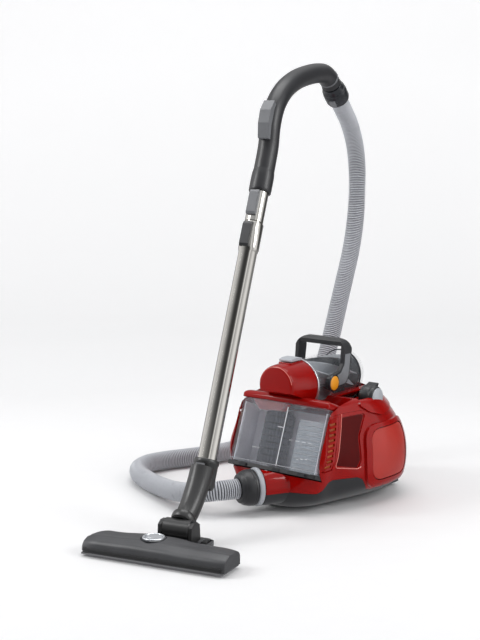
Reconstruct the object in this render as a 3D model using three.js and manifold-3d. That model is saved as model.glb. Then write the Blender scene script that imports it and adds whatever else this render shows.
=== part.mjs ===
// Canister vacuum cleaner: wheeled body with a clear dust unit, hose, telescopic tube and floor head.
// Millimetres, +Z up, X across the canister, -Y towards its nose.
import * as THREE from "three";
import { mergeVertices } from "three/addons/utils/BufferGeometryUtils.js";
import Module from "manifold-3d";

const wasm = await Module();
wasm.setup();

// ---- driving dimensions ------------------------------------------------------------------------
const GAP = 0.35; // clearance kept between touching pieces
const WALL = 3; // shell wall
const TIDY = 0.04; // facets flatter than this are merged
const SHIFT = { x: -11.5, y: 72 }; // puts the box of the whole machine, hose aside, over the origin

// canister outline: one row of half-width stations for each height, nose to tail
const BODY_LEVELS = [
  { z: 6, pts: [[0, -60], [36, -50], [62, -20], [74, 20], [90, 90], [100, 150], [88, 205], [48, 236], [0, 244]] },
  { z: 22, pts: [[0, -77], [46, -66], [84, -42], [95, 0], [112, 60], [126, 125], [118, 190], [74, 238], [0, 262]] },
  { z: 42, pts: [[0, -83], [54, -70], [93, -51], [104, -14], [126, 40], [143, 105], [137, 180], [92, 240], [0, 272]] },
  { z: 100, pts: [[0, -62], [72, -60], [109, -54], [114, -20], [127, 36], [148, 108], [141, 180], [96, 240], [0, 275]] },
  { z: 150, pts: [[0, -42], [72, -42], [107, -37], [111.5, -8], [122, 38], [141, 104], [132, 168], [88, 226], [0, 262]] },
  { z: 184, pts: [[0, -30], [72, -30], [103, -27], [107, 0], [114, 38], [128, 92], [120, 145], [80, 200], [0, 240]] },
  { z: 206, pts: [[0, -20], [58, -20], [95, -18], [102, 6], [107, 38], [116, 84], [108, 132], [70, 178], [0, 218]] },
];
const OUTLINE_STEPS = 14; // points along half an outline
const SPLIT_Z = 42; // dark tub below, red shell above
const DECK_Z = 186; // red shell below, deck above

// dust unit
const LEAN = THREE.MathUtils.degToRad(20.6);
const BIN_FOOT = { y: -66, z: 82 };
const BIN = { bottomHalf: 102, topHalf: 99, depth: 68, height: 125, bow: 7, wall: 2.4, plate: 8, lid: 11 };
const BAY_HALF = 103.8;
const FILTER_CORE = { x: -28, y: 36, r: 29, rib: 2.2, from: 6, to: 112, ribs: 7 };
const AXLE_Z = 229; // axis height of the cyclone barrel
const CAP = [ // y, radius, axis height
  [-53, 36, 235], [-49, 39, 234.8], [-30, 42.5, 233.5], [-6, 46, 231], [17.5, 48, 229],
];
const RING = { y0: 18, y1: 23, r: 49.5, inner: 44 };
const BARREL = { y0: 23.4, y1: 192, r: 47, wall: 2.2, round: 12 };
const SWIRL = { core: 17, fin: 38, n: 8, y0: 34, y1: 170, thick: 3 };
const TROUGH = { r: 51.5, y0: -90, y1: 203 };
const TAB = { half: 14, y0: -22, y1: 14, z0: 277.2, z1: 284 };

// carry handle
const PIVOT = { y: 55, z: 232, x: 50.2 };
const BAIL = { x0: 49.6, x1: 57.6, boss: 14 };
const BAIL_SIDE = [
  [42, 224], [52, 218.5], [100, 222], [112, 236], [121, 288], [119.5, 302], [111, 311],
  [101, 311.5], [95, 303], [91.5, 264], [80, 251], [56, 246], [43, 241],
];
const BAIL_BAR = [[96.5, 297], [118.5, 293], [120.5, 300], [117, 307], [110, 311.2], [101, 311.4], [96, 305]];

// pedals
const PEDAL = { x0: 90, x1: 121, y: 116, z: 201, r: 22.5, pocket: 24.5 };

// wheels and caster
const WHEEL = { x: 84, y: 196, r: 33, w: 22 };
const CASTER = { y: -28, r: 13, w: 12, trail: 9 };

// hose inlet
const INLET = { y: -84, z: 49.5, yaw: THREE.MathUtils.degToRad(30), ringR: 36.5, boreR: 19.4 };
const CUFF = { from: 26, to: 56 };
const HOSE_R = 19;

// floor head and tube, drawn in their own frame: x across the head, y rearward, origin at the front edge
const HEAD_AT = { x: 42, y: -466, yaw: 0.2044 };
const HEAD = { half: 137.5, depth: 66, z0: 7.5, zFront: 29, zTop: 36, tail: 100 };
const NECK_PIVOT = { y: 104, z: 38 };
const TUBE_FOOT = { y: 209, z: 130 };
const TUBE_LEAN = THREE.MathUtils.degToRad(25.44);
const TUBE = { r: 17.4, bore: 16.3, inner: 15.9, innerBore: 14.8, lowTop: 455, topEnd: 552, innerFoot: 60 };
const HANDLE_PATH = [ // y, z in the plane of the tube
  [437, 609], [454, 645], [470, 682], [480, 722], [500, 757], [537, 786], [588, 806], [648, 818], [706, 824], [744, 823],
  [768, 814], [782, 803.5],
];
const HANDLE_R = 20;
const END_CUFF = { y: 782.6, z: 803.1, dy: 0.8, dz: -0.6, from: 1.2, to: 50, r: 25 };

// free hose, from the handle end down behind the canister and along the floor to the inlet
const HOSE_ROUTE = [
  [-125.2, 340.9, 772], [-131.7, 372, 748], [-138, 403, 722], [-145, 436, 678], [-149, 453, 628], [-150, 456, 572],
  [-147, 446, 512], [-142, 423, 450], [-135, 388, 390], [-127, 350, 330], [-120, 316, 275], [-119, 290, 225],
  [-132, 270, 175], [-160, 257, 125], [-200, 246, 80], [-246, 228, 44], [-282, 198, 25], [-300, 158, 20.6],
  [-313, 118, 20.4], [-331, 78, 20.4], [-350, 38, 20.4], [-360, -4, 20.4], [-350, -46, 20.4], [-316, -84, 20.4],
  [-264, -114, 21], [-206, -141, 24], [-152, -163, 30], [-108, -176, 38], [-74, -178, 45], [-51, -166.5, 48.6],
  [-35.4, -145.3, 49.5], [-28.5, -133.3, 49.5],
];
const HOSE_STEPS = 74;

// ---- colours -----------------------------------------------------------------------------------
const look = (color, roughness, metalness, more = {}) =>
  new THREE.MeshStandardMaterial({ color, roughness, metalness, ...more });
const RED = look(0x9c0f0a, 0.18, 0);
const DARK = look(0x2a2b2e, 0.45, 0);
const GREY = look(0x6f7276, 0.5, 0);
const PALE = look(0xb9bdc1, 0.35, 0);
const CLEAR = look(0xaab2c0, 0.1, 0, { transparent: true, opacity: 0.35 });
const STEEL = look(0xc9c6c0, 0.12, 1);
const YELLOW = look(0xf0a014, 0.4, 0);
const RUBBER = look(0x1b1b1c, 0.8, 0);
const HOSE_GREY = look(0xb4b6b9, 0.4, 0.1);
const FOAM = look(0x9a9ca0, 0.9, 0);
const COPPER = look(0x8d6a3f, 0.4, 0.8);
const BOARD = look(0x1f5a36, 0.6, 0);

// ---- helpers -----------------------------------------------------------------------------------
const V = (x, y, z) => new THREE.Vector3(x, y, z);

// closed geometry -> solid
function solid(geometry) {
  const g = geometry.clone();
  g.deleteAttribute("normal");
  g.deleteAttribute("uv");
  const m = mergeVertices(g.index ? g.toNonIndexed() : g, 1e-4);
  const made = new wasm.Manifold(new wasm.Mesh({
    numProp: 3,
    vertProperties: new Float32Array(m.attributes.position.array),
    triVerts: new Uint32Array(m.index.array),
  }));
  if (made.volume() < 0) throw new Error("a solid is inside out");
  return made;
}

// drops the slivers that a cut along a curved wall leaves
function largest(body) {
  const pieces = body.decompose();
  return pieces.reduce((a, b) => (b.volume() > a.volume() ? b : a));
}
// solid -> named mesh
function part(name, body, material) {
  const mesh = largest(body).simplify(TIDY).getMesh();
  const g = new THREE.BufferGeometry();
  const n = mesh.numProp;
  const xyz = new Float32Array((mesh.vertProperties.length / n) * 3);
  for (let i = 0; i < xyz.length / 3; i++)
    for (let k = 0; k < 3; k++) xyz[3 * i + k] = mesh.vertProperties[n * i + k];
  g.setAttribute("position", new THREE.BufferAttribute(xyz, 3));
  g.setIndex(new THREE.BufferAttribute(new Uint32Array(mesh.triVerts), 1));
  g.computeVertexNormals();
  const out = new THREE.Mesh(g, material);
  out.name = name;
  return out;
}

// closed solid through rings of points with the same count, counter-clockwise seen from the last ring
function loft(rings) {
  const n = rings[0].length;
  const pts = rings.flat();
  const tri = [];
  for (let k = 0; k + 1 < rings.length; k++)
    for (let i = 0; i < n; i++) {
      const a = k * n + i, b = k * n + ((i + 1) % n), c = a + n, d = b + n;
      tri.push(a, b, d, a, d, c);
    }
  const cap = (base, flip) => {
    const ring = pts.slice(base, base + n);
    const mid = ring.reduce((s, p) => s.add(p), V(0, 0, 0)).divideScalar(n);
    pts.push(mid);
    const m = pts.length - 1;
    for (let i = 0; i < n; i++) {
      const a = base + i, b = base + ((i + 1) % n);
      if (flip) tri.push(a, m, b);
      else tri.push(a, b, m);
    }
  };
  cap(0, true);
  cap((rings.length - 1) * n, false);
  const g = new THREE.BufferGeometry();
  g.setAttribute("position", new THREE.Float32BufferAttribute(pts.flatMap((p) => [p.x, p.y, p.z]), 3));
  g.setIndex(tri);
  return solid(g);
}

const shapeOf = (pts) => new THREE.Shape(pts.map(([x, y]) => new THREE.Vector2(x, y)));
const extrude = (shape, depth, curve = 4) =>
  new THREE.ExtrudeGeometry(shape, { depth, bevelEnabled: false, curveSegments: curve });

// outline drawn in (y, z), swept across x0..x1
function sideways(pts, x0, x1) {
  const g = extrude(Array.isArray(pts) ? shapeOf(pts) : pts, x1 - x0);
  g.applyMatrix4(new THREE.Matrix4().makeBasis(V(0, 1, 0), V(0, 0, 1), V(1, 0, 0)));
  g.translate(x0, 0, 0);
  return solid(g);
}
// outline drawn in (x, z), swept from y0 back to y1
function frontal(pts, y0, y1) {
  const g = extrude(Array.isArray(pts) ? shapeOf(pts) : pts, y1 - y0);
  g.applyMatrix4(new THREE.Matrix4().makeBasis(V(1, 0, 0), V(0, 0, 1), V(0, -1, 0)));
  g.translate(0, y1, 0);
  return solid(g);
}
// outline drawn in (x, y), raised z0..z1
function upward(pts, z0, z1) {
  const g = extrude(Array.isArray(pts) ? shapeOf(pts) : pts, z1 - z0);
  g.translate(0, 0, z0);
  return solid(g);
}
const box = (x0, x1, y0, y1, z0, z1) => {
  const g = new THREE.BoxGeometry(x1 - x0, y1 - y0, z1 - z0);
  g.translate((x0 + x1) / 2, (y0 + y1) / 2, (z0 + z1) / 2);
  return solid(g);
};
function roundedRect(cx, cy, w, h, r) {
  const s = new THREE.Shape();
  const x0 = cx - w / 2, x1 = cx + w / 2, y0 = cy - h / 2, y1 = cy + h / 2;
  s.moveTo(x0 + r, y0);
  s.lineTo(x1 - r, y0);
  s.absarc(x1 - r, y0 + r, r, -Math.PI / 2, 0, false);
  s.lineTo(x1, y1 - r);
  s.absarc(x1 - r, y1 - r, r, 0, Math.PI / 2, false);
  s.lineTo(x0 + r, y1);
  s.absarc(x0 + r, y1 - r, r, Math.PI / 2, Math.PI, false);
  s.lineTo(x0, y0 + r);
  s.absarc(x0 + r, y0 + r, r, Math.PI, 1.5 * Math.PI, false);
  return s;
}
const AXES = {
  x: new THREE.Matrix4().makeBasis(V(0, 1, 0), V(1, 0, 0), V(0, 0, -1)),
  y: new THREE.Matrix4(),
  z: new THREE.Matrix4().makeBasis(V(1, 0, 0), V(0, 0, 1), V(0, -1, 0)),
};
// turned solid: profile of [radius, along], about a named axis through a point
function turned(profile, axis, at, segments = 24) {
  const g = new THREE.LatheGeometry(profile.map(([r, a]) => new THREE.Vector2(r, a)), segments);
  g.applyMatrix4(AXES[axis]);
  g.translate(at[0], at[1], at[2]);
  return solid(g);
}
const disc = (r, a0, a1, axis, at, seg = 24) => turned([[0, a0], [r, a0], [r, a1], [0, a1]], axis, at, seg);
const tube = (r, bore, a0, a1, axis, at, seg = 24) =>
  turned([[bore, a0], [r, a0], [r, a1], [bore, a1], [bore, a0]], axis, at, seg);
const moved = (body, matrix) => body.transform(Array.from(matrix.elements));
const mirrored = (body) => body.mirror([1, 0, 0]);

// round section swept along a smooth path
function swept(points, radius, steps, sides, bore = 0) {
  const circle = (r) => Array.from({ length: sides }, (_, i) => {
    const t = (i / sides) * 2 * Math.PI;
    return new THREE.Vector2(r * Math.cos(t), r * Math.sin(t));
  });
  const shape = new THREE.Shape(circle(radius));
  if (bore) shape.holes.push(new THREE.Path(circle(bore).reverse()));
  const extrudePath = new THREE.CatmullRomCurve3(points, false, "centripetal");
  return solid(new THREE.ExtrudeGeometry(shape, { steps, extrudePath, bevelEnabled: false }));
}

// ---- canister body -----------------------------------------------------------------------------
function outline(level, grow) {
  const half = new THREE.SplineCurve(level.pts.map(([x, y]) => new THREE.Vector2(x, y))).getPoints(OUTLINE_STEPS);
  half[0].x = 0;
  half[half.length - 1].x = 0;
  const right = half.map((p) => [p.x, p.y]);
  const left = half.slice(1, -1).reverse().map((p) => [-p.x, p.y]);
  const ring = right.concat(left);
  const n = ring.length;
  return ring.map(([x, y], i) => {
    const [ax, ay] = ring[(i + n - 1) % n];
    const [bx, by] = ring[(i + 1) % n];
    const len = Math.hypot(bx - ax, by - ay);
    return V(x + (grow * (by - ay)) / len, y - (grow * (bx - ax)) / len, level.z);
  });
}
function bodyMass(grow, zGrow = 0) {
  const rings = BODY_LEVELS.map((level) => outline(level, grow));
  rings[0].forEach((p) => (p.z -= zGrow));
  rings[rings.length - 1].forEach((p) => (p.z += zGrow));
  return loft(rings);
}
const BIN_FRAME = new THREE.Matrix4()
  .makeTranslation(0, BIN_FOOT.y, BIN_FOOT.z)
  .multiply(new THREE.Matrix4().makeRotationX(-LEAN));
function bay(extra) {
  const low = -BIN.plate - 2 - extra;
  const b = box(-BAY_HALF - extra, BAY_HALF + extra, -60, BIN.depth + 2 + extra, low, 190);
  return moved(b, BIN_FRAME);
}
const trough = (extra) =>
  disc(TROUGH.r + extra, TROUGH.y0, TROUGH.y1 + extra, "y", [0, 0, AXLE_Z], 36)
    .add(box(-TROUGH.r - extra, TROUGH.r + extra, TROUGH.y0, TROUGH.y1 + extra, AXLE_Z, AXLE_Z + 60));
const pocket = (side, extra) => {
  const lo = PEDAL.x0 - 1 - extra, hi = 150;
  const p = disc(PEDAL.pocket + extra, lo, hi, "x", [0, PEDAL.y, PEDAL.z], 24)
    .add(box(lo, hi, PEDAL.y - PEDAL.pocket - extra, PEDAL.y + PEDAL.pocket + extra, PEDAL.z, PEDAL.z + 40));
  return side > 0 ? p : mirrored(p);
};
const voids = (extra) => bay(extra).add(trough(extra)).add(pocket(1, extra)).add(pocket(-1, extra));

const outer = bodyMass(0);
const inner = bodyMass(-WALL, -WALL);
const skin = outer.subtract(inner.subtract(voids(WALL))).subtract(voids(0));

// windows in the skin
const louvreWindow = (d) => {
  const pts = [[-54 + d, 84 + d], [-26 - d, 84 + d], [1 - d, 181 - d], [-27 + d, 181 - d]];
  return sideways(pts, 92, 140);
};
const coverShape = (d) => roundedRect(124, 99, 114 + 2 * d, 100 + 2 * d, 26 + d);
const doorShape = (d) => roundedRect(0, 112, 112 + 2 * d, 76 + 2 * d, 12 + d);
const cord = { x: -66, z: 76, r: 9 };
const below = (z) => box(-200, 200, -200, 400, -10, z);
const above = (z) => box(-200, 200, -200, 400, z, 400);
const wheelWell = (side) => box(side * WHEEL.x - 16, side * WHEEL.x + 16, 158, 234, -5, 72);

function chassis() {
  const tub = outer.intersect(below(SPLIT_Z - GAP)).subtract(inner.intersect(above(9)));
  let t = tub;
  for (const s of [1, -1]) t = t.subtract(wheelWell(s));
  t = t.subtract(disc(25, -5, 30, "z", [0, CASTER.y, 0], 20));
  // roof boss that takes the caster's stem
  const boss = tube(12, 4.6, 28.5, 36, "z", [0, CASTER.y, 0], 20)
    .add(tube(29, 10, 28.5, 31.5, "z", [0, CASTER.y, 0], 20))
    .add(tube(29, 25, 7, 31.5, "z", [0, CASTER.y, 0], 20));
  t = t.add(boss.intersect(outer));
  return t.subtract(inletPass(4));
}
const inletAxis = V(-Math.sin(INLET.yaw), -Math.cos(INLET.yaw), 0);
const INLET_FRAME = new THREE.Matrix4()
  .makeTranslation(0, INLET.y, INLET.z)
  .multiply(new THREE.Matrix4().makeRotationZ(-INLET.yaw))
  .multiply(new THREE.Matrix4().makeBasis(V(1, 0, 0), V(0, -1, 0), V(0, 0, -1)));
const inletTurned = (profile, seg = 22) => moved(turned(profile, "y", [0, 0, 0], seg), INLET_FRAME);
const inletPass = (extra) => inletTurned([[0, -30], [30 + extra, -30], [30 + extra, 60], [0, 60]]);

function shell() {
  let s = skin.intersect(above(SPLIT_Z)).intersect(below(DECK_Z - GAP));
  for (const m of [1, -1]) {
    const w = louvreWindow(0);
    s = s.subtract(m > 0 ? w : mirrored(w)).subtract(wheelWell(m));
  }
  s = s.subtract(frontal(doorShape(0.6), 240, 300));
  s = s.subtract(disc(cord.r + GAP, 150, 300, "y", [cord.x, 0, cord.z], 20));
  return s.subtract(inletPass(1));
}
const deck = () => skin.intersect(above(DECK_Z)).intersect(below(220));
function louvre() {
  let p = outer.subtract(inner).intersect(louvreWindow(GAP)).subtract(bay(0));
  for (let i = 0; i < 9; i++) {
    const z = 91 + i * 9.6, y = (z - 84) * 0.276;
    p = p.subtract(sideways([[-50 + y, z], [-31 + y, z], [-31 + y, z + 5], [-50 + y, z + 5]], 90, 140));
  }
  return p;
}
const cover = () => bodyMass(4).subtract(bodyMass(1)).intersect(sideways(coverShape(0), 100, 180));
function door() {
  let d = outer.subtract(inner).intersect(frontal(doorShape(0), 240, 300));
  for (let i = 0; i < 6; i++) {
    const z = 90 + i * 8;
    d = d.subtract(frontal([[-42, z], [42, z], [42, z + 3.6], [-42, z + 3.6]], 240, 300));
  }
  return d;
}

// ---- dust unit ---------------------------------------------------------------------------------
const binRing = (half, z, d) => {
  const front = [-1, -0.6, -0.2, 0.2, 0.6, 1].map((t) => [t * (half - d), -BIN.bow * (1 - t * t) + d]);
  const back = [[half - 8 - d, BIN.depth - d], [-(half - 8 - d), BIN.depth - d]];
  return front.concat(back).map(([x, y]) => V(x, y, z));
};
const binLoft = (z0, z1, d) => {
  const at = (z) => BIN.bottomHalf + ((BIN.topHalf - BIN.bottomHalf) * z) / BIN.height;
  return loft([binRing(at(z0), z0, d), binRing(at(z1), z1, d)]);
};
const leaned = (body) => moved(body, BIN_FRAME);
const capMass = (grow) => loft(CAP.map(([y, r, z]) => circleRing(y, r + grow, z, 28)));
// ring of points round the Y axis, counter-clockwise seen from +Y
function circleRing(y, r, z, n) {
  return Array.from({ length: n }, (_, i) => {
    const t = (-i / n) * 2 * Math.PI;
    return V(r * Math.cos(t), y, z + r * Math.sin(t));
  });
}
const barrelMass = (grow) => disc(BARREL.r + grow, RING.y0 - 1, BARREL.y1, "y", [0, 0, AXLE_Z], 36);
const bin = () => leaned(binLoft(GAP, BIN.height, 0).subtract(binLoft(-2, BIN.height + 2, BIN.wall)))
  .subtract(barrelMass(3));
const binPlate = () => leaned(binLoft(-BIN.plate, 0, -1));
function filterCore() {
  const c = FILTER_CORE, pitch = (c.to - c.from) / c.ribs;
  const profile = [[0, c.from]];
  for (let i = 0; i < c.ribs; i++) {
    const z = c.from + i * pitch;
    profile.push([c.r, z], [c.r, z + pitch * 0.5], [c.r - c.rib, z + pitch * 0.55], [c.r - c.rib, z + pitch * 0.95]);
  }
  profile.push([0, c.to]);
  return leaned(turned(profile, "z", [c.x, c.y, 0], 14)).subtract(barrelMass(3));
}
function lid() {
  const slab = binLoft(BIN.height + GAP, BIN.height + BIN.lid, -1.2);
  return leaned(slab).subtract(barrelMass(3));
}
function cap() {
  const lidTop = leaned(box(-130, 130, -60, 120, 0, BIN.height + BIN.lid + GAP));
  return capMass(0).subtract(capMass(-2.4).intersect(box(-60, 60, -46, 40, 100, 300))).subtract(lidTop);
}
const capTab = () => box(-TAB.half, TAB.half, TAB.y0, TAB.y1, TAB.z0, TAB.z1).subtract(capMass(1.9));
const ring = () => tube(RING.r, RING.inner, RING.y0, RING.y1, "y", [0, 0, AXLE_Z], 36)
  .subtract(leaned(box(-130, 130, -60, 120, 0, BIN.height + BIN.lid + GAP)));
function barrel() {
  const b = BARREL, w = b.wall, e = b.round;
  const profile = [
    [b.r - w, b.y0], [b.r, b.y0], [b.r, b.y1 - e], [b.r - e * 0.3, b.y1 - e * 0.25], [b.r - e, b.y1], [0, b.y1],
    [0, b.y1 - w], [b.r - e, b.y1 - w], [b.r - e * 0.3 - w, b.y1 - e * 0.25 - w], [b.r - w, b.y1 - e],
    [b.r - w, b.y0],
  ];
  return turned(profile, "y", [0, 0, AXLE_Z], 28);
}
function swirl() {
  const s = SWIRL;
  let body = turned([[0, s.y0], [s.core, s.y0], [s.core * 0.8, s.y1], [0, s.y1]], "y", [0, 0, AXLE_Z], 16);
  for (let i = 0; i < s.n; i++) {
    const fin = box(-s.thick / 2, s.thick / 2, s.y0 + 4, s.y1 - 6, s.core * 0.5, s.fin);
    const turn = new THREE.Matrix4().makeTranslation(0, 0, AXLE_Z)
      .multiply(new THREE.Matrix4().makeRotationY((i / s.n) * 2 * Math.PI));
    body = body.add(moved(fin, turn));
  }
  return body;
}
function bail() {
  let side = sideways(BAIL_SIDE, BAIL.x0, BAIL.x1).add(disc(BAIL.boss, BAIL.x0, BAIL.x1 + 1, "x", [0, PIVOT.y, PIVOT.z]));
  side = side.subtract(disc(6.3, 40, 70, "x", [0, PIVOT.y, PIVOT.z], 20));
  const bar = sideways(BAIL_BAR, -BAIL.x1, BAIL.x1);
  const frame = frontal(roundedRect(0, 250, 2 * BAIL.x1 + 4, 123, 30), 0, 160);
  return side.add(mirrored(side)).add(bar).intersect(frame);
}
const pivotDisc = (side) => {
  const d = disc(11.4, BAIL.x1 + 1.4, BAIL.x1 + 4.4, "x", [0, PIVOT.y, PIVOT.z], 28)
    .add(disc(5.9, BARREL.r - 1.5, BAIL.x1 + 2, "x", [0, PIVOT.y, PIVOT.z], 20));
  return (side > 0 ? d : mirrored(d)).subtract(barrelMass(GAP));
};

// ---- inside the canister -----------------------------------------------------------------------
const motor = () => disc(40, 92, 176, "y", [-50, 0, 100], 20).add(disc(46, 104, 132, "y", [-50, 0, 100], 24))
  .add(disc(24, 176, 196, "y", [-50, 0, 100], 16));
const motorMount = () => tube(50, 40.6, 92, 102, "y", [-50, 0, 100], 24).intersect(inner);
const reel = () => disc(44, 100, 104, "y", [54, 0, 100], 24).add(disc(26, 103, 139, "y", [54, 0, 100], 20))
  .add(disc(44, 138, 142, "y", [54, 0, 100], 24));
const board = () => box(0, 72, 150, 154, 60, 140);
const exhaustFilter = () => box(-50, 50, 214, 240, 78, 146);
const preFilter = () => box(-86, 40, 62, 78, 62, 148);
const outlet = () => tube(cord.r, 4.2, 150, 268, "y", [cord.x, 0, cord.z], 20)
  .subtract(bodyMass(-9, -9)).intersect(bodyMass(2));

// ---- wheels ------------------------------------------------------------------------------------
function wheel(side) {
  const h = WHEEL.w / 2, r = WHEEL.r;
  const p = [[0, -h], [r * 0.5, -h], [r * 0.55, -h + 3], [r - 3, -h + 3], [r, -h + 6], [r, h - 6], [r - 3, h - 3],
    [r * 0.55, h - 3], [r * 0.5, h], [0, h]];
  return turned(p, "x", [side * WHEEL.x, WHEEL.y, r], 28);
}
const casterFork = () => {
  const y = CASTER.y + CASTER.trail, r = CASTER.r;
  const cheeks = box(-10.5, -7.5, y - 6, y + 6, 6, 25).add(box(7.5, 10.5, y - 6, y + 6, 6, 25));
  return cheeks.add(box(-10.5, 10.5, CASTER.y - 8, y + 6, 26.8, 28.2 - GAP)).add(box(-10.5, -7.5, y - 6, y + 6, 24, 28))
    .add(box(7.5, 10.5, y - 6, y + 6, 24, 27.8)).add(disc(4.2, 27, 37, "z", [0, CASTER.y, 0], 16))
    .subtract(above(37.5)).subtract(disc(r + 0.5, -7.4, 7.4, "x", [0, y, r], 20));
};
const casterWheel = () => {
  const h = CASTER.w / 2, r = CASTER.r;
  return turned([[0, -h - 1], [3, -h - 1], [3, -h], [r - 2, -h], [r, -h + 2], [r, h - 2], [r - 2, h], [3, h],
    [3, h + 1], [0, h + 1]], "x", [0, CASTER.y + CASTER.trail, r], 20);
};

// ---- pedals ------------------------------------------------------------------------------------
function pedal(side) {
  const p = PEDAL;
  let b = turned([[0, p.x0], [p.r - 2, p.x0], [p.r, p.x0 + 2], [p.r, p.x1 - 3], [p.r - 3, p.x1], [0, p.x1]],
    "x", [0, p.y, p.z], 28);
  b = b.add(sideways([[p.y - 4, p.z + 12], [p.y + 7, p.z + 14], [p.y + 15, p.z + 25.5], [p.y + 10, p.z + 27],
    [p.y - 2, p.z + 22]], p.x0 + 4, p.x1 - 6));
  return side > 0 ? b : mirrored(b);
}

// ---- inlet and hose ----------------------------------------------------------------------------
const socket = () => inletTurned([
  [25, -3], [29, -3], [29, 10], [INLET.ringR - 3, 14], [INLET.ringR, 17], [INLET.ringR, 22],
  [INLET.ringR - 3, 24.5], [28.5, 24.5], [25, 12], [25, -3],
]);
const cuff = () => inletTurned([
  [INLET.boreR, -2], [24.4, -2], [24.4, 12], [28, CUFF.from - GAP], [34, CUFF.from], [34, 38], [32, 47],
  [28, 53], [24.5, CUFF.to], [INLET.boreR, CUFF.to], [INLET.boreR, -2],
]);
const hose = () => {
  const pts = HOSE_ROUTE.map(([x, y, z]) => V(x, y, z));
  return swept(pts, HOSE_R, HOSE_STEPS, 8);
};

// ---- tube and handle (frame of the head) -------------------------------------------------------
const TUBE_FRAME = new THREE.Matrix4()
  .makeTranslation(0, TUBE_FOOT.y, TUBE_FOOT.z)
  .multiply(new THREE.Matrix4().makeRotationX(-TUBE_LEAN));
const along = (body) => moved(body, TUBE_FRAME);
const lowerTube = () => along(
  turned([[TUBE.bore, -38], [TUBE.r, -38], [TUBE.r, 398], [TUBE.r + 2, 406], [TUBE.r + 2, TUBE.lowTop],
    [TUBE.bore, TUBE.lowTop], [TUBE.bore, -38]], "z", [0, 0, 0], 18));
const upperTube = () => along(
  turned([[TUBE.innerBore, TUBE.innerFoot], [TUBE.inner, TUBE.innerFoot], [TUBE.inner, TUBE.lowTop + 2],
    [TUBE.r, TUBE.lowTop + 3], [TUBE.r, TUBE.topEnd], [TUBE.innerBore, TUBE.topEnd],
    [TUBE.innerBore, TUBE.innerFoot]], "z", [0, 0, 0], 18));
const sliderBlock = (z0, z1, r, reach) => {
  const low = [[-r - reach, z0 + 4], [-r - reach + 2, z0], [-r + 4, z0], [-r + 4, z1], [-r - reach + 3, z1],
    [-r - reach, z1 - 5]];
  return along(sideways(low, -9, 9).subtract(disc(r + GAP, z0 - 5, z1 + 5, "z", [0, 0, 0], 18)));
};
const telescopeSlider = () => sliderBlock(404.5, 452, TUBE.r + 2, 7);
const handleSlider = () => sliderBlock(468, 516, TUBE.r, 7);
const handleCurve = () => HANDLE_PATH.map(([y, z]) => V(0, y, z));
function grip() {
  const tubeBody = swept(handleCurve(), HANDLE_R, 16, 12, 15.2);
  const foot = along(tube(HANDLE_R + 1, TUBE.r + GAP, 520, 556, "z", [0, 0, 0], 18));
  const link = along(tube(HANDLE_R + 1, 15.4, TUBE.topEnd + GAP, 560, "z", [0, 0, 0], 18));
  const clear = along(disc(TUBE.r + GAP, 500, TUBE.topEnd + GAP, "z", [0, 0, 0], 18));
  return tubeBody.subtract(clear).add(foot).add(link);
}
const airSlider = () => {
  const blockSide = [[446, 700], [459.5, 694], [462, 716], [470, 741], [484, 757.5], [474, 769], [456, 752], [447, 728]];
  return sideways(blockSide, -11, 11).subtract(swept(handleCurve(), HANDLE_R + 2, 16, 12));
};
const endFrame = new THREE.Matrix4().makeTranslation(0, END_CUFF.y, END_CUFF.z)
  .multiply(new THREE.Matrix4().makeRotationX(-Math.atan2(END_CUFF.dy, END_CUFF.dz)));
const endCuff = () => moved(turned([
  [15.4, END_CUFF.from], [21, END_CUFF.from], [21, 8], [END_CUFF.r - 2, 13], [END_CUFF.r - 2, 15], [END_CUFF.r - 1, 15],
  [END_CUFF.r - 1, 18], [END_CUFF.r - 2, 18], [END_CUFF.r, 22], [END_CUFF.r, END_CUFF.to - 4], [END_CUFF.r - 4, END_CUFF.to],
  [15.4, END_CUFF.to], [15.4, END_CUFF.from],
], "z", [0, 0, 0], 18), endFrame).subtract(moved(box(-6.5, 6.5, 19, 40, 25, 42), endFrame));
const releaseButton = () => moved(box(-6, 6, 21.6, 27.5, 25.6, 41.4), endFrame)
  .subtract(moved(disc(21.5, 0, 60, "z", [0, 0, 0], 24), endFrame));

// ---- neck and floor head -----------------------------------------------------------------------
function neck() {
  const way = [V(0, 120, 45), V(0, 136, 56), V(0, 152, 70), V(0, 168, 86), V(0, 179, 100), V(0, 188.5, 115)];
  const elbow = swept(way, 21, 6, 12, 17.2);
  const cupBody = along(tube(TUBE.r + 4.5, TUBE.r + GAP, -42, 4, "z", [0, 0, 0], 18));
  const floor = along(tube(TUBE.r + 4.5, 14, -46, -38 - GAP, "z", [0, 0, 0], 18));
  const barrelEnd = disc(17, -26, 26, "x", [0, NECK_PIVOT.y, NECK_PIVOT.z], 24);
  const collar = moved(tube(21.4, 17.2, 12, 28, "z", [0, 0, 0], 24), new THREE.Matrix4()
    .makeTranslation(0, NECK_PIVOT.y, NECK_PIVOT.z).multiply(new THREE.Matrix4().makeRotationX(-1.02)));
  const clear = along(disc(TUBE.r + GAP, -38 - GAP, 60, "z", [0, 0, 0], 18));
  return elbow.add(cupBody).add(floor).subtract(clear).add(collar).add(barrelEnd)
    .subtract(disc(7.4, -40, 40, "x", [0, NECK_PIVOT.y, NECK_PIVOT.z], 20)).subtract(latchSlot());
}
const latchSlot = () => along(box(-8.4, 8.4, -24, -17.9, -40, -4));
const latch = () => along(box(-8, 8, -25.5, -18.2, -35, -5)
  .subtract(disc(TUBE.r + GAP * 2, -60, 60, "z", [0, 0, 0], 18)));
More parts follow.
